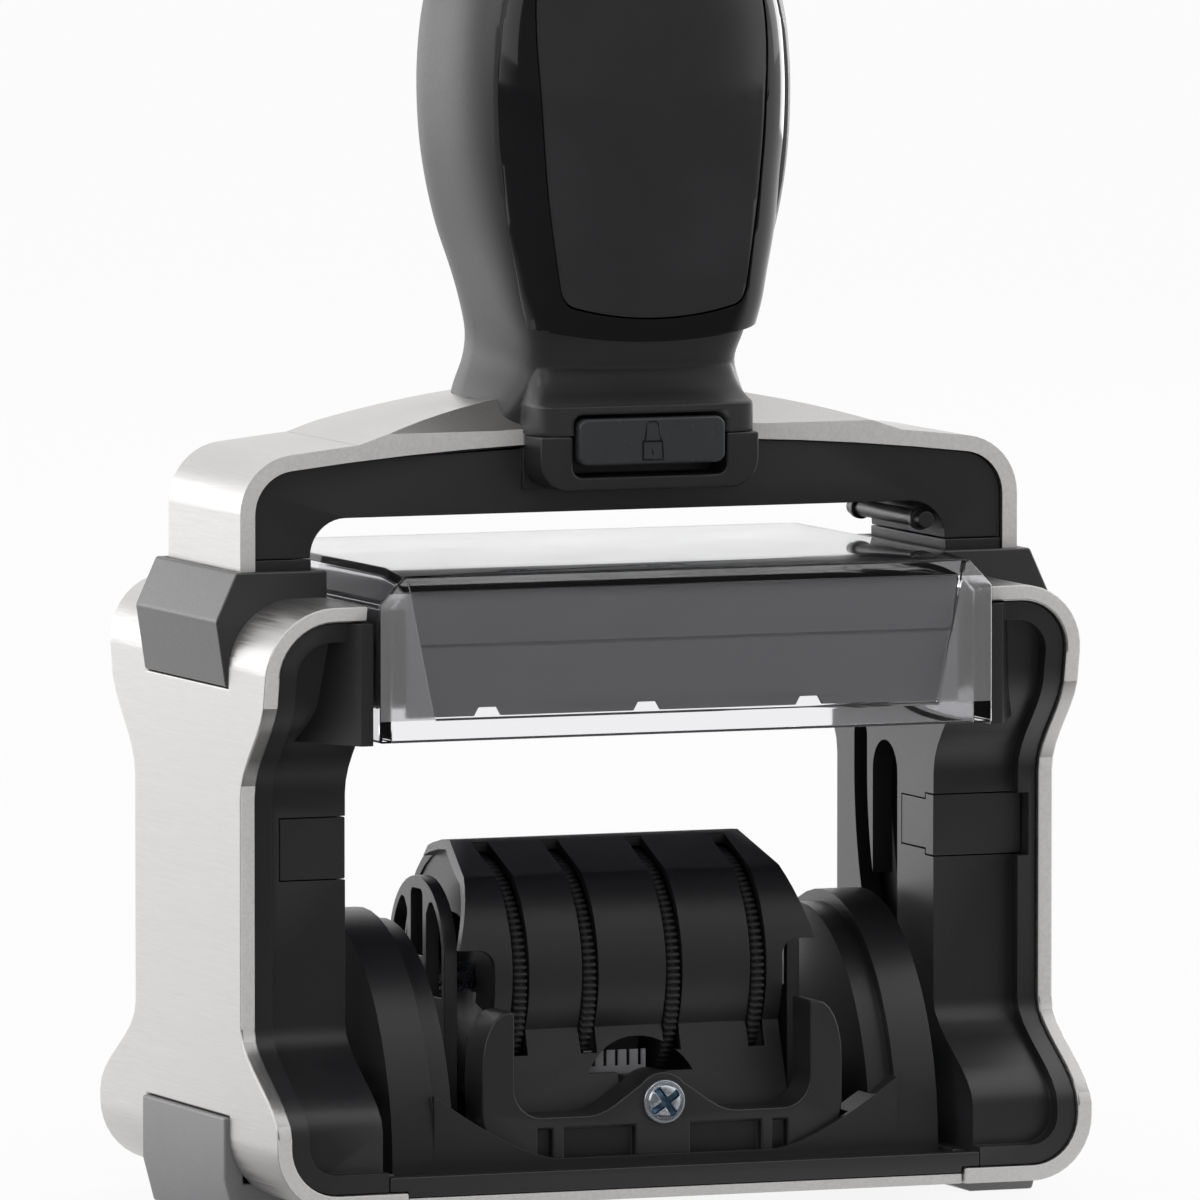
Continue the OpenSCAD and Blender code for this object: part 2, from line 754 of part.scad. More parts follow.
// Smooth solid through rows of rounded cross sections, squarer at the front than at the back
module loft(rows, front_square, back_square) {
    sides = 36;
    last = len(rows) - 1;
    ring = [for (j = [0:sides - 1])
        let (a = 360 * j / sides, e = 2 / (a > 180 ? front_square : back_square))
        [power(cos(a), e), power(sin(a), e)]];
    points = [for (row = rows, p = ring)
        [row[1] * p[0], p[1] * (p[1] < 0 ? row[2] : row[3]), strap_top + row[0]]];
    caps = [[0, 0, strap_top + rows[0][0]], [0, 0, strap_top + rows[last][0]]];
    low = len(points);
    walls = [for (i = [0:last - 1], j = [0:sides - 1])
        let (k = (j + 1) % sides, a = i * sides + j, b = i * sides + k)
        each [[a, a + sides, b + sides], [a, b + sides, b]]];
    ends = [for (j = [0:sides - 1]) let (k = (j + 1) % sides)
        each [[low, j, k], [low + 1, last * sides + k, last * sides + j]]];
    polyhedron(concat(points, caps), concat(walls, ends));
}

// Apron over the lock housing, which sweeps back into the neck
module apron() {
    low = housing_z1 + seat_gap / 2;
    steps = 8;
    along_x(-apron_hw, apron_hw) polygon(concat(
        [[housing_back, low], [-apron_front, low]],
        [for (i = [0:steps]) let (t = i / steps)
            [ease(-apron_front, -neck_front, t), lerp(apron_top, neck_z, t)]],
        [[-neck_front, neck_top], [housing_back, neck_top]]
    ));
}

// Space that the grip's seat is cut from: the strap and its crown
module strap_space() {
    along_y(-strap_half - seat_gap, strap_half + seat_gap) polygon(strap_line(-seat_gap, strap_low));
    translate([0, 0, seat_gap]) crown();
}

// Space of the bezel, above its curved lip
module bezel_space(gap) {
    along_y(-FAR, -bezel_cut + gap) polygon(concat(
        arc(0, bezel_lip + bezel_lip_r, bezel_lip_r + gap, -120, -60, 24), [[FAR, FAR], [-FAR, FAR]]
    ));
}

module handle_grip() {
    color(matt) difference() {
        union() {
            loft(grip_rows, 4, 2.8);
            apron();
        }
        strap_space();
        bezel_space(seat_gap / 2);
        button_pocket();
        handle_screw_holes(run_gap);
    }
}

// Outline of the label window on the front of the bezel
label_low_hw = 9.9;
label_rise = 10.9;
label_low = strap_top + label_rise;
label_sag = 1.5;
label_side = [[11.4, 22.9], [12.2, 32.9], [12.5, 40.4], [11.8, 44.9], [9, 47.3], [4, 48.2]];
function label_line(gap) = let (right = [for (p = label_side) [p[0] - gap, strap_top + p[1] - gap]]) concat(
    [for (t = [-1:0.25:1]) [t * (label_low_hw - gap), label_low + gap + label_sag * t * t]],
    right, mirrored(right)
);

label_floor = 14.6;
label_t = 0.4;
window_sink = 0.15;

module label_block(gap, y0, y1) {
    along_y(-y1, -y0) polygon(label_line(gap));
}

module handle_bezel() {
    color(black) difference() {
        intersection() {
            loft(bezel_rows, 4, 4);
            bezel_space(-seat_gap / 2);
        }
        label_block(0, label_floor, FAR);
    }
}

module label_card() {
    color(black) label_block(seat_gap, label_floor, label_floor + label_t);
}

module label_window() {
    color(black) intersection() {
        translate([0, window_sink, 0]) loft(bezel_rows, 4, 4);
        label_block(seat_gap, label_floor + label_t, FAR);
    }
}

module handle_screws() {
    color(zinc) for (side = [LEFT, RIGHT]) translate([side * handle_screw_x, 0, 0]) difference() {
        union() {
            translate([0, 0, arch_under]) cylinder(h = handle_screw_len, r = handle_screw_r);
            translate([0, 0, arch_under + screw_head_gap])
                cylinder(h = screw_seat - arch_under - screw_head_gap, r = 2 * handle_screw_r);
        }
        for (turn = [0, 90]) rotate([0, 0, turn])
            box([-screw_slot, -handle_screw_head, 0], [screw_slot, handle_screw_head, screw_slot_top]);
    }
}

// Pad cassette
card_t = 0.6;
card_end = 1.8;
card_low = 2.3;
card_hw = pad_hw - cover_wall - card_end;
card_top = pad_top - pad_slope_h - cover_wall - seat_gap;
notch_x = [-21, -3.9, 13.6];
notch_w = 3;
notch_h = 0.9;
notch_draft = 0.5;
tray_front_gap = 1.7;
tray_top_gap = 2.1;
tray_roof = 1.7;
tray_low = 3.2;
tray_hw = pad_hw - cover_wall - slide_gap;
tray_half = pad_half - cover_wall - tray_front_gap;
tray_top = pad_top - cover_wall - tray_top_gap;
felt_top = tray_top - tray_roof;
felt_bottom = felt_top - felt_t;

// Outer form of the clear cover, or the hollow that a wall leaves in it
module cover_form(wall, low) {
    slant = atan(pad_bevel_w / pad_bevel_h);
    half = pad_half - wall;
    top = pad_top - wall;
    slope_in = pad_half - pad_slope_d;
    hw = pad_hw - wall;
    bevel_z = pad_top - pad_bevel_h - wall * tan(slant / 2);
    bevel_x = pad_hw - pad_bevel_w - wall * tan(45 - slant / 2);
    intersection() {
        along_x(-hw, hw) polygon([
            [-half, low], [-half, top - pad_slope_h], [-slope_in, top],
            [slope_in, top], [half, top - pad_slope_h], [half, low]
        ]);
        along_y(-half, half) polygon([
            [-hw, low], [hw, low], [hw, bevel_z], [bevel_x, top], [-bevel_x, top], [-hw, bevel_z]
        ]);
    }
}

module clear_cover() {
    color(clear) difference() {
        cover_form(0, pad_bottom);
        cover_form(cover_wall, pad_bottom - 1);
        along_y(-FAR, pane_sink - pad_half) polygon([
            [pane_side - pad_hw, pad_bottom + pane_low], [pad_hw - pane_side, pad_bottom + pane_low],
            [pad_hw - pane_side + pane_flare, pad_top], [pane_side - pane_flare - pad_hw, pad_top]
        ]);
    }
}

module insert_card() {
    front = pad_half - cover_wall - seat_gap;
    low = pad_bottom + card_low;
    color(grey) difference() {
        box([-card_hw, -front, low], [card_hw, card_t - front, card_top]);
        for (x = notch_x) along_y(-FAR, 0) polygon([
            [x - notch_w / 2, low - 1], [x + notch_w / 2, low - 1], [x + notch_w / 2, low],
            [x + notch_w / 2 - notch_draft, low + notch_h], [x - notch_w / 2 + notch_draft, low + notch_h],
            [x - notch_w / 2, low]
        ]);
    }
}

module pad_tray() {
    color(grey) difference() {
        box([-tray_hw, -tray_half, pad_bottom + tray_low], [tray_hw, tray_half, tray_top]);
        box([-tray_hw + tray_wall, -tray_half + tray_wall, 0],
            [tray_hw - tray_wall, tray_half - tray_wall, felt_top]);
    }
}

module ink_felt() {
    hw = tray_hw - tray_wall - seat_gap;
    half = tray_half - tray_wall - seat_gap;
    color(rubber) box([-hw, -half, felt_bottom], [hw, half, felt_top - seat_gap / 2]);
}

// Print unit
unit_hw = window_hw - unit_gap;
plate_top = die_face + die_t + plate_t;
cradle_floor = plate_top + seat_gap;
cradle_floor_t = 2;
floor_top = cradle_floor + cradle_floor_t;
floor_half = 13.4;
date_half = 3.4;
cheek_in = u_hw + cheek_gap;
cover_hw = u_hw - cover_step;
cover_mid_hw = cover_hw - cover_flare;
cover_top_hw = cover_hw - ridge_step;
cover_low_hw = cover_hw - brow_step;
shield_gap = 0.8;
shield_in = cover_mid_hw + shield_gap;
shield_t = 1.4;
date_edge = 0.5;
date_hw = shield_in + date_edge;
die_hw = unit_hw - die_margin;
bevel_w = 2.5;
bevel_in = 1.2;
axle_grip = 4.5;
axle_root = unit_hw - axle_grip;
dial_h = die_face + dial_lift;
screw_rise = 9.4;
screw_z = die_face + screw_rise;
skirt_y = 13.6;
skirt_rise = 7;
skirt_z = die_face + skirt_rise;
skirt_h = 2.5;
skirt_gap = 0.15;
u_back = skirt_y + skirt_gap;
u_front = 18.8;
wall_t = 0.7;
wall_low = 1.3;
wall_high = 8.1;
wall_flat = 12;
wall_thick = 4.3;
step_gap = 0.5;
post_half = 0.9;
overlap = 1;

module date_hole() {
    box([-date_hw, -date_half, 0], [date_hw, date_half, floor_top + overlap]);
}

// Domed cheek, seen from the side
module cheek_view(shrink) {
    root = 1;
    base = cradle_floor + root;
    steps = 28;
    polygon(concat(
        [[cheek_half - shrink, cradle_floor]],
        [for (i = [0:steps]) let (a = 180 * i / steps)
            [(cheek_half - shrink) * cos(a), base + (cheek_h - root - shrink) * sin(a)]],
        [[shrink - cheek_half, cradle_floor]]
    ));
}

// Sloping wall between the cheeks
module cradle_wall(end) {
    steps = 6;
    right = concat([[end, cradle_floor]],
        [for (i = [0:steps]) let (t = 1 - i / steps)
            [lerp(wall_flat, end, t), cradle_floor + lerp(wall_low, wall_high, pow(t, 1.4))]]);
    polygon(concat(right, mirrored(right)));
}

module print_cradle() {
    bevel_x = cheek_in + bevel_w;
    color(black) difference() {
        union() {
            for (side = [LEFT, RIGHT]) on_side(side) {
                along_x(bevel_x, unit_hw) cheek_view(0);
                along_x(cheek_in, bevel_x) cheek_view(bevel_in);
            }
            for (turn = [0, 180]) rotate([0, 0, turn]) {
                along_y(-cheek_half, wall_t - cheek_half) cradle_wall(bevel_x);
                intersection() {
                    along_y(-cheek_half, wall_thick - cheek_half) cradle_wall(bevel_x);
                    for (side = [LEFT, RIGHT]) on_side(side)
                        box([u_hw + step_gap, -FAR, 0], [FAR, 0, FAR]);
                }
            }
            box([-cheek_in - overlap, -floor_half, cradle_floor],
                [cheek_in + overlap, floor_half, floor_top]);
            for (way = [LEFT, RIGHT]) translate([0, way * (floor_half - post_half), 0])
                box([-post_hw, -post_half, cradle_floor], [post_hw, post_half, screw_z + post_hw]);
        }
        date_hole();
        rod_y(-FAR, FAR, 0, screw_z, screw_r + run_gap);
        for (side = [LEFT, RIGHT]) on_side(side) {
            rod_x(axle_root, FAR, 0, pivot_h, axle_r + run_gap);
            rod_x(axle_root, FAR, cam_at(0)[0], cam_at(0)[1], pin_r + run_gap);
        }
    }
}

module pivot_axles() {
    color(zinc) for (side = [LEFT, RIGHT]) on_side(side)
        rod_x(axle_root, leg_in + boss_root, 0, pivot_h, axle_r);
}

module flip_pins() {
    color(zinc) for (side = [LEFT, RIGHT]) on_side(side)
        rod_x(axle_root, channel_in - seat_gap, cam_at(0)[0], cam_at(0)[1], pin_r);
}

module text_plate() {
    margin = 0.6;
    color(grey) difference() {
        box([-die_hw - margin, -die_d / 2 - margin, die_face + die_t],
            [die_hw + margin, die_d / 2 + margin, plate_top]);
        date_hole();
    }
}

module text_die() {
    color(rubber) difference() {
        box([-die_hw, -die_d / 2, die_face], [die_hw, die_d / 2, die_face + die_t]);
        date_hole();
    }
}

// Wheel cover: a flat strip below the ridge, then a radius that shrinks to the brow
brow_angle = 112;
back_angle = 105;
strip_angle = 35;
function cover_r(a) = a < 0 ? ridge_r : lerp(ridge_r, brow_r, a / brow_angle);
function cover_at(a, inset) =
    [-(cover_r(a) - inset) * sin(a), dial_h + (cover_r(a) - inset) * cos(a)];
function cover_line(inset) = concat(
    [[skirt_y - inset, skirt_z]],
    [for (i = [0:12]) cover_at(lerp(-back_angle, 0, i / 12), inset)],
    [for (i = [0:12]) cover_at(lerp(strip_angle, brow_angle, i / 12), inset)],
    [[inset - skirt_y, skirt_z + skirt_h], [inset - skirt_y, skirt_z]]
);

dial_end_left = 5.1;
dial_end_right = 4.95;
wheel_x = [dial_end_left - shield_in, -5.3, 3.8, shield_in - dial_end_right];
slot_drop = 7;
slot_low = dial_h - slot_drop;
slot_top_y = 0.8;
ridge_z = dial_h + ridge_r;
lens_r = 6.3;
lens_rise = 2.4;
lens_sink = 0.4;
lens_sill = screw_z + lens_rise;
lens_z = screw_z - lens_sink;
lens_angle = asin((lens_sill - lens_z) / lens_r);
post_hw = 2.2;

module wheel_cover() {
    shoulder_drop = 2.9;
    waist_rise = 3.8;
    waist_r = 1.7;
    waist_z = dial_h + waist_rise;
    back_y = 5;
    right = [[cover_hw, 0], [cover_hw, waist_z], [cover_mid_hw, ridge_z - shoulder_drop],
             [cover_top_hw, ridge_z]];
    color(black) difference() {
        intersection() {
            along_x(-cover_hw, cover_hw) polygon(concat(cover_line(0), reversed(cover_line(shell_t))));
            along_y(-FAR, FAR) polygon(concat(right, mirrored(right)));
        }
        for (side = [LEFT, RIGHT]) on_side(side) {
            along_y(-FAR, FAR) polygon(concat(
                [[cover_low_hw, 0], [FAR, 0], [FAR, waist_z]],
                arc(cover_low_hw + waist_r, waist_z - waist_r, waist_r, 90, 180)
            ));
            box([cover_low_hw, back_y, 0], [FAR, FAR, FAR]);
        }
        for (x = wheel_x)
            box([x - slot_w / 2, -FAR, slot_low], [x + slot_w / 2, -slot_top_y, FAR]);
        along_y(-FAR, FAR) polygon(arc(0, lens_z, lens_r, lens_angle, 180 - lens_angle, 16));
        box([-post_hw - slide_gap, -FAR, 0], [post_hw + slide_gap, FAR, lens_sill + seat_gap]);
    }
}

// U-shaped end plate that holds the date works in the cradle, drawn at the front
module u_plate() {
    top_rise = 19;
    bend_rise = 13.2;
    rim_rise = 8.3;
    top = die_face + top_rise;
    bend_z = die_face + bend_rise;
    low = cradle_floor + seat_gap / 2;
    arm_gap = 0.4;
    arm_tip = 0.8;
    arm_in = cover_low_hw + arm_gap;
    arm_steps = 6;
    wave_hw = 8;
    wave_h = 3.7;
    rim_z = die_face + rim_rise;
    rim_lip = 1.2;
    bend = 6;
    inner_bend = 3;
    rib_x = 11.3;
    rib_w = 1.3;
    recess = 1;
    boss = 3;
    right = concat(
        arc(u_hw - bend, low + bend, bend, -90, 0),
        [for (i = [0:arm_steps]) let (a = 90 * i / arm_steps)
            [lerp(u_hw, arm_in + arm_tip, 1 - cos(a)), lerp(bend_z, top, sin(a))]],
        [[arm_in, top]],
        arc(arm_in - inner_bend, rim_z + inner_bend, inner_bend, 0, -90),
        [for (x = [wave_hw:-1:1]) [x, rim_z + wave_h * (1 + cos(180 * x / wave_hw)) / 2]]
    );
    difference() {
        union() {
            along_y(-u_front, -u_back) polygon(concat(right, mirrored(right)));
            rod_y(-u_front, -u_back, 0, screw_z, boss);
        }
        rod_y(-FAR, FAR, 0, screw_z, screw_r + seat_gap);
        for (side = [LEFT, RIGHT]) on_side(side) {
            box([boss, -FAR, 0], [rib_x - rib_w / 2, recess - u_front, rim_z - rim_lip]);
            box([rib_x + rib_w / 2, -FAR, 0], [u_hw - bend, recess - u_front, rim_z - rim_lip]);
        }
    }
}

module front_plate() {
    color(black) u_plate();
}

module rear_plate() {
    color(black) mirror([0, 1, 0]) u_plate();
}

module plate_screws() {
    head_t = 0.9;
    cross_hw = 1.5;
    cross_half = 0.35;
    cross_depth = 0.6;
    color(zinc) for (way = [0, 1]) mirror([0, way, 0]) difference() {
        union() {
            rod_y(-u_front - head_t, -u_front, 0, screw_z, screw_head_r);
            rod_y(-u_front, overlap - floor_half, 0, screw_z, screw_r);
        }
        translate([0, -u_front - head_t, screw_z]) for (turn = [0, 90]) rotate([0, turn, 0])
            box([-cross_hw, -overlap, -cross_half], [cross_hw, cross_depth, cross_half]);
    }
}

axle_tip = 0.4;

module end_shield(side) {
    half = 7.8;
    crown_rise = 2.6;
    crown_z = dial_h + crown_rise;
    slit_half = 1;
    slit_pitch = 4.4;
    slit_h = 5.2;
    slit_rise = 1.8;
    slit_z = dial_h + slit_rise;
    middle_rise = 1.8;
    color(light) on_side(side) difference() {
        along_x(shield_in, shield_in + shield_t) {
            translate([0, crown_z]) circle(half);
            translate([-half, floor_top]) square([2 * half, crown_z - floor_top]);
        }
        rod_x(0, FAR, 0, dial_h, dial_axle_r + run_gap);
        for (k = [-1:1]) let (low = slit_z + (k == 0 ? middle_rise : 0))
            box([0, k * slit_pitch - slit_half, low], [FAR, k * slit_pitch + slit_half, low + slit_h]);
    }
}

module wheel_axle() {
    end = shield_in + shield_t + axle_tip;
    color(zinc) rod_x(-end, end, 0, dial_h, dial_axle_r);
}

// Date bands run from the hubs round the bridge at the die face
bridge_r = 2.4;
bridge_z = die_face + bridge_r;
band_out = hub_r + slide_gap + band_t;
function next_x(i) = i < 3 ? wheel_x[i + 1] - wheel_t / 2 : shield_in;

function belt(r_top, r_low) = let (lean = asin((r_top - r_low) / (dial_h - bridge_z))) concat(
    arc(0, dial_h, r_top, -lean, 180 + lean, 20),
    arc(0, bridge_z, r_low, 180 + lean, 360 - lean, 10)
);

module date_band(i) {
    color(rubber) along_x(wheel_x[i] + wheel_t / 2 + slide_gap, next_x(i) - slide_gap) difference() {
        polygon(belt(band_out, bridge_r));
        polygon(belt(band_out - band_t, bridge_r - band_t));
    }
}

module band_bridge() {
    bar_r = bridge_r - band_t - seat_gap / 2;
    end = shield_in - seat_gap;
    plate = 0.8;
    plate_h = 8;
    color(light) union() {
        rod_x(-end, end, 0, bridge_z, bar_r);
        for (side = [LEFT, RIGHT]) on_side(side)
            box([end - plate, -bar_r, bridge_z], [end, bar_r, bridge_z + plate_h]);
    }
}

module thumbwheel(i) {
    tooth = 0.35;
    outline = [for (k = [0:2 * wheel_teeth - 1])
        let (a = 180 * k / wheel_teeth, r = wheel_r - tooth * (k % 2))
        [r * cos(a), r * sin(a)]];
    x0 = wheel_x[i] - wheel_t / 2;
    hub_end = next_x(i) - slide_gap - seat_gap;
    color(matt) difference() {
        union() {
            translate([0, 0, dial_h]) along_x(x0, x0 + wheel_t) polygon(outline);
            rod_x(x0, hub_end, 0, dial_h, hub_r);
        }
        rod_x(-FAR, FAR, 0, dial_h, dial_axle_r + run_gap);
    }
}

module index_comb() {
    hw = 6.3;
    pitch = 1.4;
    front = 11;
    thick = 0.6;
    top_rise = 13.5;
    top = die_face + top_rise;
    gap_half = 0.35;
    gap_h = 4.5;
    color(light) difference() {
        box([-hw, -front, floor_top], [hw, thick - front, top]);
        for (k = [-4:4]) box([k * pitch - gap_half, -FAR, top - gap_h], [k * pitch + gap_half, 0, FAR]);
    }
}

steel_side(LEFT);  // steel_side_left
steel_side(RIGHT);  // steel_side_right
side_frame(LEFT);  // side_frame_left
side_frame(RIGHT);  // side_frame_right
base_sill();
collar(LEFT);  // collar_left
collar(RIGHT);  // collar_right
foot(LEFT);  // foot_left
foot(RIGHT);  // foot_right
track_gate(LEFT);  // track_gate_left
track_gate(RIGHT);  // track_gate_right
guide_rods();
return_spring(LEFT);  // return_spring_left
return_spring(RIGHT);  // return_spring_right
steel_strap();
arch_bar();
guide_leg(LEFT);  // guide_leg_left
guide_leg(RIGHT);  // guide_leg_right
arch_pin();
lock_housing();
handle_grip();
handle_bezel();
label_card();
label_window();
handle_screws();
lock_button();
lock_spring();
clear_cover();
insert_card();
pad_tray();
ink_felt();
print_cradle();
text_plate();
text_die();
wheel_cover();
front_plate();
rear_plate();
plate_screws();
wheel_axle();
band_bridge();
end_shield(LEFT);  // end_shield_left
end_shield(RIGHT);  // end_shield_right
date_band(0);  // date_band_1
date_band(1);  // date_band_2
date_band(2);  // date_band_3
date_band(3);  // date_band_4
index_comb();
pivot_axles();
flip_pins();
thumbwheel(0);  // thumbwheel_1
thumbwheel(1);  // thumbwheel_2
thumbwheel(2);  // thumbwheel_3
thumbwheel(3);  // thumbwheel_4
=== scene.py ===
"""Looks of a self-inking date stamp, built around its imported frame."""

import json
import math

import bmesh
import bpy
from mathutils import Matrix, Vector


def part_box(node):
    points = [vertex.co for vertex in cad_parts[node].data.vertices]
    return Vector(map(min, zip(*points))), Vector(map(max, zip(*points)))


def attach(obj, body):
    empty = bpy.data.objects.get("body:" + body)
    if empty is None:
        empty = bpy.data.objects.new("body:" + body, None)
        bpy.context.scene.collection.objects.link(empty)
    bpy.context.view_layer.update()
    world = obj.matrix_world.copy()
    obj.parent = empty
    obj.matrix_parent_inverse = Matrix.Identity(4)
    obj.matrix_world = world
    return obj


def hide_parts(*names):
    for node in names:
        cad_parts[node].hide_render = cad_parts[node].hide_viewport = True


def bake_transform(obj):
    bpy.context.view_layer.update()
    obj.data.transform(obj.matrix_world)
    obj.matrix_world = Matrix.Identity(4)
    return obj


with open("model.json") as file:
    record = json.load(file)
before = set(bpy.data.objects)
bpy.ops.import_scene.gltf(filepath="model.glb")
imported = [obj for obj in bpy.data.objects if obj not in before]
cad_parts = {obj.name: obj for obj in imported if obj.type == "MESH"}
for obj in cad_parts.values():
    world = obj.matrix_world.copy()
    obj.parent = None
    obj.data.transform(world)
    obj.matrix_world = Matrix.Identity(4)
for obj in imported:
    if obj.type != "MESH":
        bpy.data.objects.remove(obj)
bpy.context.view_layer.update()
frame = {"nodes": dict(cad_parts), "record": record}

bl_info = {
    "name": "Date stamp",
    "version": (1, 0, 0),
    "blender": (4, 5, 0),
    "location": "3D View > Sidebar > Date stamp",
    "description": "Builds the visible pieces of a self-inking date stamp on its frame",
    "category": "Object",
}

MM = 0.001
WELD = 0.01 * MM
SPECK = 0.002 * MM
BODIES = frame["record"]["behaviour"]["bodies"]
BODY_OF = {node: body for body, members in BODIES.items() for node in members}
FINISHES = {}

# Named places, in millimetres
STRAP_TOP = 79.1
STRAP_HALF = 10.25
STRAP_ARC = 310
BEZEL_CUT = 13.0
BEZEL_LIP = STRAP_TOP + 8.6
LIP_RADIUS = 55
SEAT = 0.1
FAR = 80
OVERHEAD = 200

# Handle: height above the strap, half width, front, back, squareness and narrowing of the front
GRIP_ROWS = [
    (-0.7, 13.8, 9.9, 10.4, 7, 0), (0.9, 14.4, 10.3, 11, 7, 0.04), (3.2, 14.1, 11.2, 10.6, 8, 0.12),
    (6.2, 13.2, 11.9, 9.4, 9, 0.15), (8.9, 13, 12.8, 9, 9, 0.08), (12.1, 13.6, 13.4, 9.4, 7, 0.02),
    (15.3, 14.5, 14.2, 10, 6, 0), (19.9, 16, 15.2, 11, 5, 0), (24.9, 17.1, 16, 11.7, 4.4, 0),
    (29.9, 17.7, 16.4, 12.1, 4.1, 0), (35.9, 17.8, 16.5, 12.2, 4, 0), (41.9, 17.2, 16, 11.8, 4, 0),
    (46.9, 15.8, 14.8, 10.9, 4, 0), (50.9, 12.9, 12.2, 9.2, 3.6, 0), (53.3, 8.6, 8.2, 6.4, 3, 0),
    (54.3, 4, 3.8, 3, 2.6, 0),
]
APRON_ROWS = [
    (-0.7, 11.8, 15.3, 5, 16, 0), (1.7, 11.8, 15.3, 5, 16, 0), (2.2, 11.8, 15.2, 5, 16, 0),
    (2.6, 11.7, 14.3, 5, 15, 0), (3.3, 11.5, 13.2, 5, 14, 0), (4.4, 11.3, 12.4, 5, 12, 0),
    (5.8, 11, 11.8, 5, 12, 0), (7, 10.8, 11, 5, 12, 0),
]
BEZEL_ROWS = [
    (6.9, 12, 16, 5, 5, 0), (8.9, 12.9, 16.4, 5, 5, 0), (12.1, 13.8, 16.9, 5, 5, 0),
    (15.3, 14.6, 17.1, 5, 4.6, 0), (19.9, 15.7, 17.3, 5, 4.2, 0), (24.9, 16.4, 17.5, 5, 4, 0),
    (29.9, 16.9, 17.6, 5, 4, 0), (35.9, 17, 17.5, 5, 4, 0), (41.9, 16.5, 16.9, 5, 4, 0),
    (46.9, 15, 15.6, 5, 4, 0), (50.5, 12.6, 13.4, 5, 4, 0), (51.9, 10.6, 11.8, 5, 4, 0),
]
LABEL_SIDE = [(9.9, 12.4), (11.4, 22.9), (12.2, 32.9), (12.5, 40.4), (11.8, 44.9), (9, 47.3), (4, 48.2)]
LABEL_LOW = 10.9
LABEL_SAG = 1.5
LABEL_FLOOR = 14.6
LABEL_CARD = 0.4
LABEL_GAP = 0.18
WINDOW_SINK = 0.15
GRIP_BACK_SQUARE = 2.8
SHELL_BACK_SQUARE = 4
HANDLE_EDGE = 0.3
PANE_EDGE = 0.2
HANDLE_CREASE = 38

# Screw head: inset from the rim and drop from the face
SCREW_DOME = [(0, 0.55), (0.12, 0.4), (0.34, 0.4), (0.42, 0.5), (0.48, 0.28), (0.8, 0.08), (1.35, 0)]


class StampColours(bpy.types.PropertyGroup):
    """Colours that a user would change"""

    steel: bpy.props.FloatVectorProperty(
        name="Steel", description="Brushed steel sheet", subtype="COLOR", default=(0.67, 0.655, 0.644))
    black: bpy.props.FloatVectorProperty(
        name="Black plastic", description="Moulded frame and works", subtype="COLOR",
        default=(0.015, 0.015, 0.0165))
    grip: bpy.props.FloatVectorProperty(
        name="Soft grip", description="Soft-touch skin of the handle", subtype="COLOR",
        default=(0.030, 0.030, 0.031))
    gloss: bpy.props.FloatVectorProperty(
        name="Gloss black", description="Handle front", subtype="COLOR", default=(0.006, 0.006, 0.007))
    # The label pane is the handle's gloss black, made lighter here as painted reflection.
    label: bpy.props.FloatVectorProperty(
        name="Label pane", description="Pane over the bare label", subtype="COLOR",
        default=(0.030, 0.030, 0.032))
    # The lock button is gloss black; this lighter colour is painted light on its face.
    key: bpy.props.FloatVectorProperty(
        name="Lock button", description="Lock button", subtype="COLOR", default=(0.046, 0.050, 0.053))
    grey: bpy.props.FloatVectorProperty(
        name="Dark grey plastic", description="Collars and shields", subtype="COLOR",
        default=(0.03, 0.03, 0.032))
    # The feet are the same dark grey plastic as the collars; this lighter colour is painted light from the
    # bright table beside them.
    foot: bpy.props.FloatVectorProperty(
        name="Feet", description="Moulded feet", subtype="COLOR", default=(0.17, 0.17, 0.177))
    pad: bpy.props.FloatVectorProperty(
        name="Pad grey", description="Pad tray", subtype="COLOR", default=(0.13, 0.128, 0.132))
    # This light colour is partly the insert's own grey and partly painted light, standing for light that
    # the clear front keeps from it.
    insert: bpy.props.FloatVectorProperty(
        name="Insert", description="Grey insert behind the clear front", subtype="COLOR",
        default=(0.60, 0.586, 0.606))
    # The comb is made of this pale plastic but takes the darker plate finish, as painted shade.
    pale: bpy.props.FloatVectorProperty(
        name="Pale plastic", description="End shields, bridge and comb", subtype="COLOR",
        default=(0.45, 0.45, 0.46))
    clear: bpy.props.FloatVectorProperty(
        name="Clear plastic", description="Tint of the clear cover", subtype="COLOR",
        default=(0.93, 0.93, 0.95))
    felt: bpy.props.FloatVectorProperty(
        name="Inked felt", description="Felt soaked with ink", subtype="COLOR",
        default=(0.020, 0.020, 0.045))
    rubber: bpy.props.FloatVectorProperty(
        name="Die rubber", description="Text die and date bands", subtype="COLOR",
        default=(0.10, 0.095, 0.10))
    plate: bpy.props.FloatVectorProperty(
        name="Plate", description="Plate behind the text die", subtype="COLOR", default=(0.20, 0.20, 0.21))
    zinc: bpy.props.FloatVectorProperty(
        name="Zinc", description="Bright plated screws, pins and springs", subtype="COLOR",
        default=(0.66, 0.70, 0.76))
    floor: bpy.props.FloatVectorProperty(
        name="Floor", description="Pale table top", subtype="COLOR", default=(0.90, 0.90, 0.90))


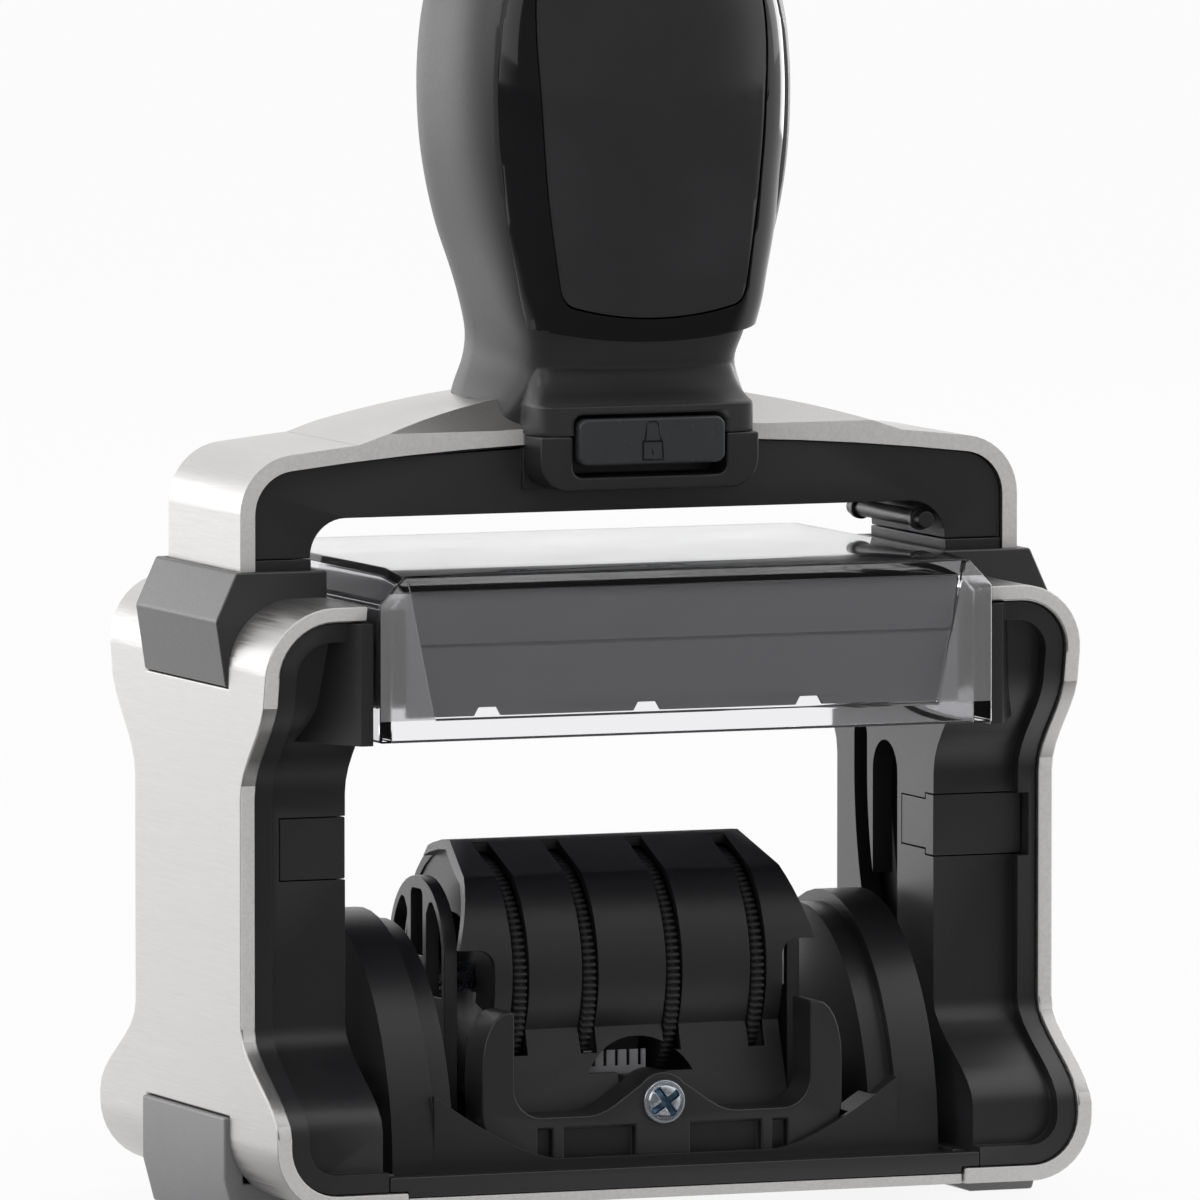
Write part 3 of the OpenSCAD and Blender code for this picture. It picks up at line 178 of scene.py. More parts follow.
class StampSizes(bpy.types.PropertyGroup):
    """Sizes that a user would change"""

    edge: bpy.props.FloatProperty(
        name="Moulded edge", description="Rounding of moulded edges", default=0.25 * MM,
        min=0, unit="LENGTH", precision=5)
    sheet_edge: bpy.props.FloatProperty(
        name="Sheet edge", description="Rounding of the steel sheet's edges", default=0.22 * MM,
        min=0, unit="LENGTH", precision=5)
    fine_edge: bpy.props.FloatProperty(
        name="Fine edge", description="Rounding of small pieces", default=0.12 * MM,
        min=0, unit="LENGTH", precision=5)
    spring_wire: bpy.props.FloatProperty(
        name="Spring wire", description="Radius of the return springs' wire", default=0.4 * MM,
        min=0, unit="LENGTH", precision=5)
    spring_turns: bpy.props.IntProperty(
        name="Spring turns", description="Turns of a return spring", default=12, min=3)
    teeth: bpy.props.IntProperty(
        name="Dial teeth", description="Teeth round a thumbwheel", default=110, min=12)
    tooth: bpy.props.FloatProperty(
        name="Tooth height", description="Height of a thumbwheel's teeth", default=0.35 * MM,
        min=0, unit="LENGTH", precision=5)
    lens: bpy.props.FloatProperty(
        name="Lens", description="Focal length of the camera", default=560.84, unit="CAMERA")
    distance: bpy.props.FloatProperty(
        name="Distance", description="Distance of the camera", default=1.8919, unit="LENGTH")
    azimuth: bpy.props.FloatProperty(
        name="Azimuth", description="How far the camera stands to the left", subtype="ANGLE",
        default=math.radians(21.703))
    elevation: bpy.props.FloatProperty(
        name="Elevation", description="How far the camera stands above the table", subtype="ANGLE",
        default=math.radians(4.738))


# Node materials


def map_range(tree, value, low, high, start=0.0, end=1.0):
    """A node that maps a value from one range to another."""
    span = tree.nodes.new("ShaderNodeMapRange")
    for name, number in (("From Min", low), ("From Max", high), ("To Min", start), ("To Max", end)):
        span.inputs[name].default_value = number
    tree.links.new(value, span.inputs["Value"])
    return span


class Recipe:
    """A new material with its Principled shader, and short ways to add nodes to it."""

    def __init__(self, slot, colour, rough, metal=0.0):
        self.material = bpy.data.materials.new(slot + "_finish")
        self.material.use_nodes = True
        self.tree = self.material.node_tree
        self.shader = self.tree.nodes["Principled BSDF"]
        self.colour = tuple(colour)
        self.set("Base Color", (*self.colour, 1))
        self.set("Roughness", rough)
        self.set("Metallic", metal)
        self.place = self.tree.nodes.new("ShaderNodeTexCoord").outputs["Object"]
        FINISHES[slot] = self.material

    def set(self, socket, value):
        self.shader.inputs[socket].default_value = value

    def link(self, a, b):
        self.tree.links.new(a, b)

    def noise(self, scale, stretch=(1, 1, 1), detail=3.0, rough=0.55):
        """Noise of so many features a metre, stretched by axis."""
        way = self.tree.nodes.new("ShaderNodeMapping")
        way.inputs["Scale"].default_value = [scale * s for s in stretch]
        self.link(self.place, way.inputs["Vector"])
        noise = self.tree.nodes.new("ShaderNodeTexNoise")
        noise.inputs["Scale"].default_value = 1.0
        noise.inputs["Detail"].default_value = detail
        noise.inputs["Roughness"].default_value = rough
        self.link(way.outputs["Vector"], noise.inputs["Vector"])
        return noise.outputs["Fac"]

    def spread(self, value, low, high):
        """Maps the middle of a noise to a range."""
        return map_range(self.tree, value, 0.3, 0.7, low, high).outputs["Result"]

    def vary_roughness(self, value, low, high):
        self.link(self.spread(value, low, high), self.shader.inputs["Roughness"])

    def vary_colour(self, value, dark, light):
        """Shades the colour by a noise."""
        mix = self.tree.nodes.new("ShaderNodeMix")
        mix.data_type = "RGBA"
        mix.inputs["A"].default_value = (*[min(1, c * dark) for c in self.colour], 1)
        mix.inputs["B"].default_value = (*[min(1, c * light) for c in self.colour], 1)
        self.link(self.spread(value, 0, 1), mix.inputs["Factor"])
        self.link(mix.outputs["Result"], self.shader.inputs["Base Color"])
        return mix.outputs["Result"]

    def wear_edges(self, colour, worn, low=0.52, high=0.62):
        """Blends towards a worn colour where the surface is sharply convex."""
        sharp = self.tree.nodes.new("ShaderNodeNewGeometry").outputs["Pointiness"]
        span = map_range(self.tree, sharp, low, high)
        mix = self.tree.nodes.new("ShaderNodeMix")
        mix.data_type = "RGBA"
        mix.inputs["B"].default_value = (*worn, 1)
        self.link(span.outputs["Result"], mix.inputs["Factor"])
        self.link(colour, mix.inputs["A"])
        self.link(mix.outputs["Result"], self.shader.inputs["Base Color"])

    def bump(self, value, strength, depth):
        bump = self.tree.nodes.new("ShaderNodeBump")
        bump.inputs["Strength"].default_value = strength
        bump.inputs["Distance"].default_value = depth
        self.link(value, bump.inputs["Height"])
        self.link(bump.outputs["Normal"], self.shader.inputs["Normal"])


def moulded(slot, colour, rough, grain=5200, depth=0.00004, worn=2.2, gloss=0.4):
    """Moulded plastic: a fine spark-eroded grain, a little unevenness and paler edges."""
    r = Recipe(slot, colour, rough)
    r.set("Specular IOR Level", gloss)
    cloud = r.noise(70)
    fine = r.noise(grain, detail=2)
    shade = r.vary_colour(cloud, 0.88, 1.14)
    r.wear_edges(shade, [min(1, c * worn) for c in colour])
    r.vary_roughness(fine, rough - 0.06, rough + 0.06)
    r.bump(fine, 0.25, depth)
    return r


def glossy(slot, colour, rough):
    """Polished plastic with faint waves, fine scuffs and a broad cloud of painted reflection in its colour.
    """
    r = Recipe(slot, colour, rough)
    # The colour's broad cloud of lighter and darker patches is painted reflection.
    r.vary_colour(r.noise(50), 0.85, 1.2)
    r.vary_roughness(r.noise(900), 0.65 * rough, 1.4 * rough)
    r.bump(r.noise(220, detail=1), 0.05, 0.00008)
    r.set("Specular IOR Level", 0.45)


def clear(slot, colour, rough, weight):
    """Clear plastic that lets a share of the light through."""
    r = Recipe(slot, colour, rough)
    r.set("Transmission Weight", weight)
    r.set("IOR", 1.46)
    return r


def make_finishes(c):
    """Makes every material of the stamp from the colours."""
    steel = Recipe("brushed_steel", c.steel, 0.34, 1.0)
    streak = steel.noise(60, (90, 1.6, 90), detail=4, rough=0.7)
    steel.vary_colour(streak, 0.90, 1.05)
    steel.vary_roughness(steel.noise(90, (60, 1.2, 60)), 0.29, 0.46)
    steel.bump(streak, 0.18, 0.00003)
    steel.set("Anisotropic", 0.35)

    # The cut edges' own finish, lightened and made less metallic as a painted highlight for the bright line
    # along them.
    cut_edge_highlight = Recipe("sheared_steel", [min(1, 1.25 * v) for v in c.steel], 0.4, 0.2)
    marks = cut_edge_highlight.noise(1600, (2, 1, 2), detail=4)
    cut_edge_highlight.vary_colour(marks, 0.93, 1.05)
    cut_edge_highlight.vary_roughness(marks, 0.32, 0.5)
    cut_edge_highlight.bump(marks, 0.2, 0.00003)

    moulded("black_plastic", c.black, 0.36, gloss=0.8)
    skin = moulded("soft_grip", c.grip, 0.42, grain=7000, depth=0.00005, gloss=0.65)
    skin.set("Sheen Weight", 0.18)
    skin.set("Sheen Roughness", 0.35)
    moulded("grey_plastic", c.grey, 0.34, worn=1.5, gloss=1.0)
    # A lighter copy of the dark grey plastic for the feet: painted light from the table.
    moulded("foot_grey", c.foot, 0.4, worn=1.3, gloss=1.0)
    moulded("pad_grey", c.pad, 0.5, worn=1.3)
    # The insert's own grey made much lighter: painted light in place of the light that reaches it through
    # the clear front.
    moulded("insert_grey_painted_light", c.insert, 0.5, worn=1.1)
    moulded("light_plastic", c.pale, 0.45, worn=1.15)
    # Also the comb's finish, darker than its pale plastic: painted shade.
    moulded("plate_plastic", c.plate, 0.5, worn=1.25)
    moulded("dial_plastic", c.black, 0.48, grain=4200)
    moulded("black_card", c.gloss, 0.35, grain=3000, worn=1.2)

    glossy("gloss_black", c.gloss, 0.07)
    # A lighter copy of the gloss black for the label pane: painted reflection.
    glossy("label_gloss_painted_reflection", c.label, 0.11)
    # A lighter copy of the gloss black for the lock button: painted light.
    glossy("key_gloss_painted_light", c.key, 0.2)

    hood = clear("clear_plastic", c.clear, 0.03, 1.0)
    hood.vary_roughness(hood.noise(160), 0.015, 0.06)
    hood.bump(hood.noise(120, detail=1), 0.03, 0.0001)

    frost = clear("frosted_clear", [0.68 * v for v in c.clear], 0.35, 0.72)
    frost.vary_roughness(frost.noise(2600), 0.28, 0.5)
    frost.bump(frost.noise(3200), 0.4, 0.00008)

    # A dark clear finish for the rim above the insert: painted shade in place of the dark that the clear
    # wall shows there.
    rim_shade = clear("clear_painted_shade", [0.05 * v for v in c.clear], 0.06, 0.9)
    rim_shade.vary_colour(rim_shade.noise(40, (1, 3, 3)), 0.5, 1.8)
    rim_shade.vary_roughness(rim_shade.noise(160), 0.03, 0.10)
    rim_shade.bump(rim_shade.noise(120, detail=1), 0.03, 0.0001)

    felt = Recipe("inked_felt", c.felt, 0.95)
    fibre = felt.noise(1500, (1, 1, 2.5), detail=6, rough=0.75)
    felt.vary_colour(fibre, 0.5, 1.9)
    felt.vary_roughness(fibre, 0.8, 1.0)
    felt.bump(fibre, 0.8, 0.0004)
    felt.set("Sheen Weight", 0.25)

    rubber = Recipe("die_rubber", c.rubber, 0.7)
    rubber.vary_colour(rubber.noise(300), 0.85, 1.15)
    rubber.vary_roughness(rubber.noise(1800), 0.6, 0.82)
    rubber.bump(rubber.noise(4200), 0.3, 0.00005)

    zinc = Recipe("zinc_steel", c.zinc, 0.24, 1.0)
    zinc.vary_colour(zinc.noise(700), 0.85, 1.08)
    zinc.vary_roughness(zinc.noise(1500), 0.16, 0.36)
    zinc.bump(zinc.noise(2500), 0.15, 0.00003)

    # The cross recess is drawn darker than the zinc: painted shade in the recess.
    recess = Recipe("screw_recess_shade", [c.zinc[0] * 0.22, c.zinc[1] * 0.34, c.zinc[2] * 0.46], 0.3, 1.0)
    recess.vary_colour(recess.noise(1500), 0.6, 1.4)
    recess.vary_roughness(recess.noise(1500), 0.2, 0.4)
    recess.bump(recess.noise(2500), 0.15, 0.00003)


# Mesh tools


def new_piece(name, bm):
    """A new object from a bmesh, with smooth faces."""
    bmesh.ops.recalc_face_normals(bm, faces=bm.faces)
    for face in bm.faces:
        face.smooth = True
    mesh = bpy.data.meshes.new(name)
    bm.to_mesh(mesh)
    bm.free()
    obj = bpy.data.objects.new(name, mesh)
    bpy.context.scene.collection.objects.link(obj)
    return obj


def settle(obj, finish, *nodes, body=None, slot=None):
    """Gives a piece its finish, lets it stand for its nodes and ride on their body. The slot is not used.
    """
    obj.data.materials.clear()
    obj.data.materials.append(FINISHES[finish])
    if nodes:
        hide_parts(*nodes)
    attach(obj, body or BODY_OF[nodes[0]])
    return obj


def flat_normals(obj):
    """Keeps broad faces flat beside their rounded edges."""
    normals = obj.modifiers.new("flat faces", "WEIGHTED_NORMAL")
    normals.keep_sharp = True
    normals.weight = 80


def round_edges(bm, width, sharp=32, segments=2):
    """Rounds every edge that is sharper than an angle."""
    limit = math.radians(sharp)
    edges = [e for e in bm.edges if e.is_manifold and e.calc_face_angle(0) > limit]
    bmesh.ops.bevel(bm, geom=edges, offset=width, offset_type="OFFSET", segments=segments, profile=0.5,
                    affect="EDGES", clamp_overlap=True)


def keep_sharp(bm, angle):
    """Marks the edges that shade as corners."""
    limit = math.radians(angle)
    for edge in bm.edges:
        edge.smooth = edge.calc_face_angle(0) < limit


def node_mesh(node):
    """A node's faces, welded, with the flat ones joined."""
    bm = bmesh.new()
    bm.from_mesh(frame["nodes"][node].data)
    bmesh.ops.remove_doubles(bm, verts=bm.verts, dist=SPECK)
    bmesh.ops.dissolve_limit(bm, angle_limit=math.radians(0.4), use_dissolve_boundaries=False,
                             verts=bm.verts, edges=bm.edges)
    return bm


def rounded_piece(node, name, finish, width, sharp=32, segments=2, slot=None):
    """A finished piece in a node's shape, with its edges rounded."""
    bm = node_mesh(node)
    if width > 0:
        round_edges(bm, width, sharp, segments)
    obj = new_piece(name, bm)
    flat_normals(obj)
    return settle(obj, finish, node, slot=slot)


def catmull(points, steps):
    """A smooth line through points, each a tuple of numbers."""
    out = []
    last = len(points) - 1
    for i in range(last):
        p = [points[max(0, min(last, i + k))] for k in (-1, 0, 1, 2)]
        for s in range(steps):
            t = s / steps
            out.append(tuple(
                0.5 * (2 * b + (c - a) * t + (2 * a - 5 * b + 4 * c - d) * t * t
                       + (3 * b - a - 3 * c + d) * t ** 3)
                for a, b, c, d in zip(*p)))
    out.append(tuple(points[last]))
    return out


def bent(a, b, c, t):
    """A point of the curve from a to c that b pulls."""
    return tuple((1 - t) ** 2 * p + 2 * t * (1 - t) * q + t * t * r for p, q, r in zip(a, b, c))


def power(v, e):
    """A power that keeps its sign."""
    return math.copysign(abs(v) ** e, v)


def join_rings(bm, rings):
    """Faces between each ring of corners and the next."""
    for a, b in zip(rings, rings[1:]):
        for j in range(len(a)):
            k = (j + 1) % len(a)
            bm.faces.new((a[j], a[k], b[k], b[j]))


def loft(rows, back_square, sides=128, steps=5, shift=0.0):
    """A smooth closed solid through rows of rounded cross sections."""
    bm = bmesh.new()
    rings = []
    for z, hw, front, back, square, narrow in catmull(rows, steps):
        ring = []
        for j in range(sides):
            a = 2 * math.pi * j / sides
            e = 2 / (square if math.sin(a) < 0 else back_square)
            depth = power(math.sin(a), e)
            x = hw * power(math.cos(a), e) * (1 + narrow * min(0, depth))
            y = (front if depth < 0 else back) * depth + shift
            ring.append(bm.verts.new((x * MM, y * MM, (STRAP_TOP + z) * MM)))
        rings.append(ring)
    join_rings(bm, rings)
    bm.faces.new(list(reversed(rings[0])))
    bm.faces.new(rings[-1])
    return bm


def prism(points, low, high, axis="Y"):
    """A closed prism from a drawing in millimetres: (X, Z) along Y, or (Y, Z) along X."""
    bm = bmesh.new()
    ends = []
    for at in (low, high):
        if axis == "Y":
            ends.append([bm.verts.new((u * MM, at * MM, v * MM)) for u, v in points])
        else:
            ends.append([bm.verts.new((at * MM, u * MM, v * MM)) for u, v in points])
    count = len(points)
    bm.faces.new(ends[0])
    bm.faces.new(list(reversed(ends[1])))
    for i in range(count):
        k = (i + 1) % count
        bm.faces.new((ends[0][k], ends[0][i], ends[1][i], ends[1][k]))
    return bm


def rectangle(left, right, low, high):
    """The four corners of a rectangle."""
    return [(left, low), (right, low), (right, high), (left, high)]


def gather(parts):
    """Several shapes as one."""
    bm = bmesh.new()
    for part in parts:
        mesh = bpy.data.meshes.new("part")
        part.to_mesh(mesh)
        part.free()
        bm.from_mesh(mesh)
        bpy.data.meshes.remove(mesh)
    return bm


def turned(profile, x, z, sides=40):
    """A closed turned solid about a line along Y, from pairs of radius and Y in millimetres."""
    bm = bmesh.new()
    rings = []
    for radius, y in profile:
        circle = arc(x, z, radius, 0, 360, sides)[:-1]
        rings.append([bm.verts.new((u * MM, y * MM, v * MM)) for u, v in circle])
    join_rings(bm, rings)
    bm.faces.new(rings[0])
    bm.faces.new(rings[-1])
    return bm


def carve(obj, bm, operation):
    """Cuts, joins or keeps a shape with an exact boolean, and applies it."""
    tool = new_piece("tool", bm)
    cut = obj.modifiers.new("cut", "BOOLEAN")
    cut.operation = operation
    cut.solver = "EXACT"
    cut.object = tool
    graph = bpy.context.evaluated_depsgraph_get()
    mesh = bpy.data.meshes.new_from_object(obj.evaluated_get(graph))
    obj.modifiers.clear()
    obj.data = mesh
    bpy.data.objects.remove(tool)


def soften(obj, width, sharp=40, segments=2):
    """Rounds the sharp edges that carving left, and smooths the rest."""
    bm = bmesh.new()
    bm.from_mesh(obj.data)
    bmesh.ops.remove_doubles(bm, verts=bm.verts, dist=WELD)
    bmesh.ops.dissolve_degenerate(bm, edges=bm.edges, dist=WELD)
    if width > 0:
        round_edges(bm, width, sharp, segments)
        bmesh.ops.remove_doubles(bm, verts=bm.verts, dist=SPECK)
        bmesh.ops.dissolve_degenerate(bm, edges=bm.edges, dist=SPECK)
    for face in bm.faces:
        face.smooth = True
    bm.to_mesh(obj.data)
    bm.free()


def arc(cx, cz, r, start, end, count):
    """Points of an arc, angles in degrees."""
    out = []
    for i in range(count + 1):
        a = math.radians(start + (end - start) * i / count)
        out.append((cx + r * math.cos(a), cz + r * math.sin(a)))
    return out


def helix(name, centre, radius, wire, low, high, turns, axis="Z"):
    """A spring's wire as one swept tube."""
    per_turn, sides = 24, 10
    count = int(turns * per_turn)
    bm = bmesh.new()
    rings = []
    for i in range(count + 1):
        t = i / count
        a = 2 * math.pi * turns * t
        lift = low + wire + (high - low - 2 * wire) * t
        ring = []
        for j in range(sides):
            b = 2 * math.pi * j / sides
            q = radius + wire * math.cos(b)
            p = (q * math.cos(a), q * math.sin(a), lift + wire * math.sin(b))
            if axis == "Y":
                p = (p[0], p[2], p[1])
            ring.append(bm.verts.new(Vector(centre) + Vector(p)))
        rings.append(ring)
    join_rings(bm, rings)
    bm.faces.new(rings[0])
    bm.faces.new(rings[-1])
    return new_piece(name, bm)


def stretch(spring, node, near, far, start, end):
    """Finishes a spring and hides the node that it stands for; the bodies and ends are not used."""
    spring.data.materials.append(FINISHES["zinc_steel"])
    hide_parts(node)
    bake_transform(spring)


# Operators, one for each group of pieces


class StampOperator:
    """What the stamp's operators share"""

    bl_options = {"REGISTER", "UNDO"}

    def execute(self, context):
        self.build(context.scene.stamp_sizes)
        return {"FINISHED"}


class STAMP_OT_finishes(StampOperator, bpy.types.Operator):
    """Makes the materials and gives every frame node its own"""

    bl_idname = "stamp.finishes"
    bl_label = "Finishes"

    def execute(self, context):
        make_finishes(context.scene.stamp_colours)
        for node, obj in frame["nodes"].items():
            for place in obj.material_slots:
                slot = place.material.name.split(".")[0]
                if slot not in FINISHES:
                    raise RuntimeError(node + " has no finish for " + slot)
                place.material = FINISHES[slot]
        return {"FINISHED"}


class STAMP_OT_steel(StampOperator, bpy.types.Operator):
    """Bent steel sides and strap"""

    bl_idname = "stamp.steel"
    bl_label = "Steel sheet"

    CUT_FACE = 0.9

    def build(self, sizes):
        for node in ("steel_side_left", "steel_side_right", "steel_strap"):
            sheet = rounded_piece(node, node + "_sheet", "brushed_steel", sizes.sheet_edge, 40)
            # The cut edges take the lightened finish with its painted highlight.
            sheet.data.materials.append(FINISHES["sheared_steel"])
            for face in sheet.data.polygons:
                if abs(face.normal.y) > self.CUT_FACE:
                    face.material_index = 1


class STAMP_OT_base(StampOperator, bpy.types.Operator):
    """Moulded pillars, sill, collars, feet and gates"""

    bl_idname = "stamp.base"
    bl_label = "Base mouldings"

    def build(self, sizes):
        for side in ("left", "right"):
            rounded_piece("side_frame_" + side, "pillar_" + side, "black_plastic", sizes.edge)
            rounded_piece("collar_" + side, "guide_collar_" + side, "grey_plastic", sizes.edge, 24)
            rounded_piece("foot_" + side, "moulded_foot_" + side, "foot_grey", sizes.edge, 24,
                          slot="grey_plastic")
            rounded_piece("track_gate_" + side, "gate_plug_" + side, "black_plastic", sizes.fine_edge)
        self.sill(sizes)

    def sill(self, sizes):
        """The sill frame, with a steel strip let into its lower edge at the front and the back."""
        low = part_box("base_sill")[0]
        front, foot = low.y / MM, low.z / MM
        deep, tall, past = 1.4, 1.1, 1
        end = -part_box("steel_side_left")[1].x / MM - SEAT
        frame_piece = new_piece("sill_frame", node_mesh("base_sill"))
        strips = []
        for way in (1, -1):
            room = rectangle(way * (front - past), way * (front + deep), foot - past, foot + tall)
            carve(frame_piece, prism(room, -end - 2 * past, end + 2 * past, "X"), "DIFFERENCE")
            strip = rectangle(way * front, way * (front + deep - SEAT), foot, foot + tall - SEAT)
            strips.append(prism(strip, -end, end, "X"))
        soften(frame_piece, sizes.edge, 32)
        flat_normals(frame_piece)
        settle(frame_piece, "black_plastic", "base_sill")
        both = gather(strips)
        round_edges(both, sizes.fine_edge)
        trim = new_piece("sill_strips", both)
        flat_normals(trim)
        # The strips take the lightened cut-edge finish with its painted highlight.
        settle(trim, "sheared_steel", body="base", slot="brushed_steel")


class STAMP_OT_arch(StampOperator, bpy.types.Operator):
    """Arch bar, legs, pins and lock housing"""

    bl_idname = "stamp.arch"
    bl_label = "Arch"

    def build(self, sizes):
        rounded_piece("arch_bar", "arch_moulding", "black_plastic", sizes.edge)
        for side in ("left", "right"):
            rounded_piece("guide_leg_" + side, "sliding_leg_" + side, "black_plastic", sizes.edge)
        rounded_piece("arch_pin", "corner_pin", "black_plastic", sizes.fine_edge)
        rounded_piece("lock_housing", "lock_tab", "black_plastic", sizes.edge)


class STAMP_OT_handle(StampOperator, bpy.types.Operator):
    """Soft grip, gloss bezel, bare label and its window"""

    bl_idname = "stamp.handle"
    bl_label = "Handle"

    def bezel_space(self, gap):
        """The room in front of the grip and above the lip's curve."""
        curve = arc(0, BEZEL_LIP + LIP_RADIUS, LIP_RADIUS + gap, -120, -60, 48)
        return prism(curve + [(FAR, OVERHEAD), (-FAR, OVERHEAD)], -FAR, -BEZEL_CUT + gap)

    def label_outline(self, gap):
        """The label's drawing: a sagging foot, rounded lower corners and curved sides."""
        side = catmull([(x - gap, STRAP_TOP + z - gap) for x, z in LABEL_SIDE], 4)
        hw = LABEL_SIDE[0][0] - gap
        low = STRAP_TOP + LABEL_LOW + gap
        bottom = [(hw * t / 8, low + LABEL_SAG * (t / 8) ** 2) for t in range(-7, 8)]
        corner = [bent(bottom[-1], (hw, low + LABEL_SAG), side[1], k / 6) for k in range(1, 6)]
        right = corner + side[1:]
        return bottom + right + [(-x, z) for x, z in reversed(right)]

    def build(self, sizes):
        grip = new_piece("soft_touch_grip", loft(GRIP_ROWS, GRIP_BACK_SQUARE))
        carve(grip, loft(APRON_ROWS, SHELL_BACK_SQUARE), "UNION")
        carve(grip, self.strap_space(), "DIFFERENCE")
        carve(grip, self.bezel_space(SEAT / 2), "DIFFERENCE")
        carve(grip, self.button_room(), "DIFFERENCE")
        soften(grip, HANDLE_EDGE * MM, HANDLE_CREASE)
        settle(grip, "soft_grip", "handle_grip")

        bezel = new_piece("gloss_front", loft(BEZEL_ROWS, SHELL_BACK_SQUARE))
        carve(bezel, self.bezel_space(-SEAT / 2), "INTERSECT")
        carve(bezel, prism(self.label_outline(0), -FAR, -LABEL_FLOOR), "DIFFERENCE")
        soften(bezel, HANDLE_EDGE * MM, HANDLE_CREASE)
        settle(bezel, "gloss_black", "handle_bezel")

        card_front = -LABEL_FLOOR - LABEL_CARD
        card = new_piece("bare_label", prism(self.label_outline(SEAT), card_front, -LABEL_FLOOR))
        settle(card, "black_card", "label_card")

        window = new_piece("label_pane", loft(BEZEL_ROWS, SHELL_BACK_SQUARE, shift=WINDOW_SINK))
        carve(window, prism(self.label_outline(LABEL_GAP), -FAR, card_front), "INTERSECT")
        soften(window, PANE_EDGE * MM, HANDLE_CREASE)
        # The pane takes the lighter copy of the gloss black, as painted reflection.
        settle(window, "label_gloss_painted_reflection", "label_window", slot="gloss_black")

        rounded_piece("handle_screws", "long_screws", "zinc_steel", sizes.fine_edge)

    def strap_space(self):
        """The room that the strap's arc takes up under the grip."""
        half = STRAP_HALF + SEAT
        reach, count, end, foot = 30, 48, 45, 60
        top = [(-end, foot)]
        for i in range(count + 1):
            x = 2 * reach * i / count - reach
            top.append((x, STRAP_TOP - STRAP_ARC + math.sqrt(STRAP_ARC ** 2 - x * x) + SEAT))
        top.append((end, foot))
        return prism(top, -half, half)

    def button_room(self):
        """The opening round the lock button."""
        hw, low, high, back, r = 8.3, 74.2, 80.5, 11.3, 1
        outline = [*arc(hw - r, low + r, r, -90, 0, 5), *arc(hw - r, high - r, r, 0, 90, 5),
                   *arc(r - hw, high - r, r, 90, 180, 5), *arc(r - hw, low + r, r, 180, 270, 5)]
        return prism(outline, -FAR, -back)


class STAMP_OT_lock(StampOperator, bpy.types.Operator):
    """Lock button and its spring"""

    bl_idname = "stamp.lock"
    bl_label = "Lock"

    def pictogram(self):
        """A faint raised padlock in outline."""
        low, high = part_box("lock_button")
        face = low.y / MM
        proud, line, past = 0.05, 0.16, 1
        hw, margin, body = 1.15, 0.4, 2
        body_low = low.z / MM + margin
        body_high = body_low + body
        bow, shoulder, crown, drop = 0.95, 0.7, 0.4, 0.3
        bow_high = high.z / MM - drop
        inner = line / 2
        root = body_high - inner
        key_low, key_high = body_low + 0.6, body_low + 1.3
        outer_bow = [(-bow, root), (-shoulder, bow_high - drop), (-crown, bow_high),
                     (crown, bow_high), (shoulder, bow_high - drop), (bow, root)]
        inner_bow = [(x * (1 - line / bow), z - (line if z > root else 0)) for x, z in outer_bow]
        case = rectangle(-hw, hw, body_low, body_high)
        hollow = rectangle(line - hw, hw - line, body_low + line, body_high - line)
        keyhole = rectangle(-inner, inner, key_low, key_high)
        sign = new_piece("lock_sign", prism(case, face - proud, face + proud))
        carve(sign, prism(hollow, face - past, face + past), "DIFFERENCE")
        for shape in (outer_bow + inner_bow[::-1], keyhole):
            carve(sign, prism(shape, face - proud, face + proud), "UNION")
        flat_normals(sign)
        settle(sign, "gloss_black", body="lock")

    def build(self, sizes):
        key_edge = 0.35 * MM
        rounded_piece("lock_button", "lock_key", "key_gloss_painted_light", key_edge, segments=3, slot="gloss_black")
        self.pictogram()
        low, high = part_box("lock_spring")
        wire, turns = 0.15 * MM, 2.5
        radius = (high.x - low.x) / 2 - wire
        spring = helix("lock_coil", ((low.x + high.x) / 2, 0, (low.z + high.z) / 2), radius, wire,
                       low.y, high.y, turns, "Y")
        stretch(spring, "lock_spring", "arch", "lock", (0, high.y, 0), (0, low.y, 0))


class STAMP_OT_springs(StampOperator, bpy.types.Operator):
    """Return springs, built at one length though they stretch as the arch rises, and their guide rods"""

    bl_idname = "stamp.springs"
    bl_label = "Return springs"

    def build(self, sizes):
        for side in ("left", "right"):
            node = "return_spring_" + side
            low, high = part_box(node)
            middle = (low + high) / 2
            wire = sizes.spring_wire
            radius = (high.x - low.x) / 2 - wire
            spring = helix("return_coil_" + side, (middle.x, middle.y, 0), radius, wire, low.z, high.z,
                           sizes.spring_turns)
            stretch(spring, node, "base", "arch", (0, 0, low.z), (0, 0, high.z))
        rounded_piece("guide_rods", "spring_rods", "zinc_steel", sizes.fine_edge)


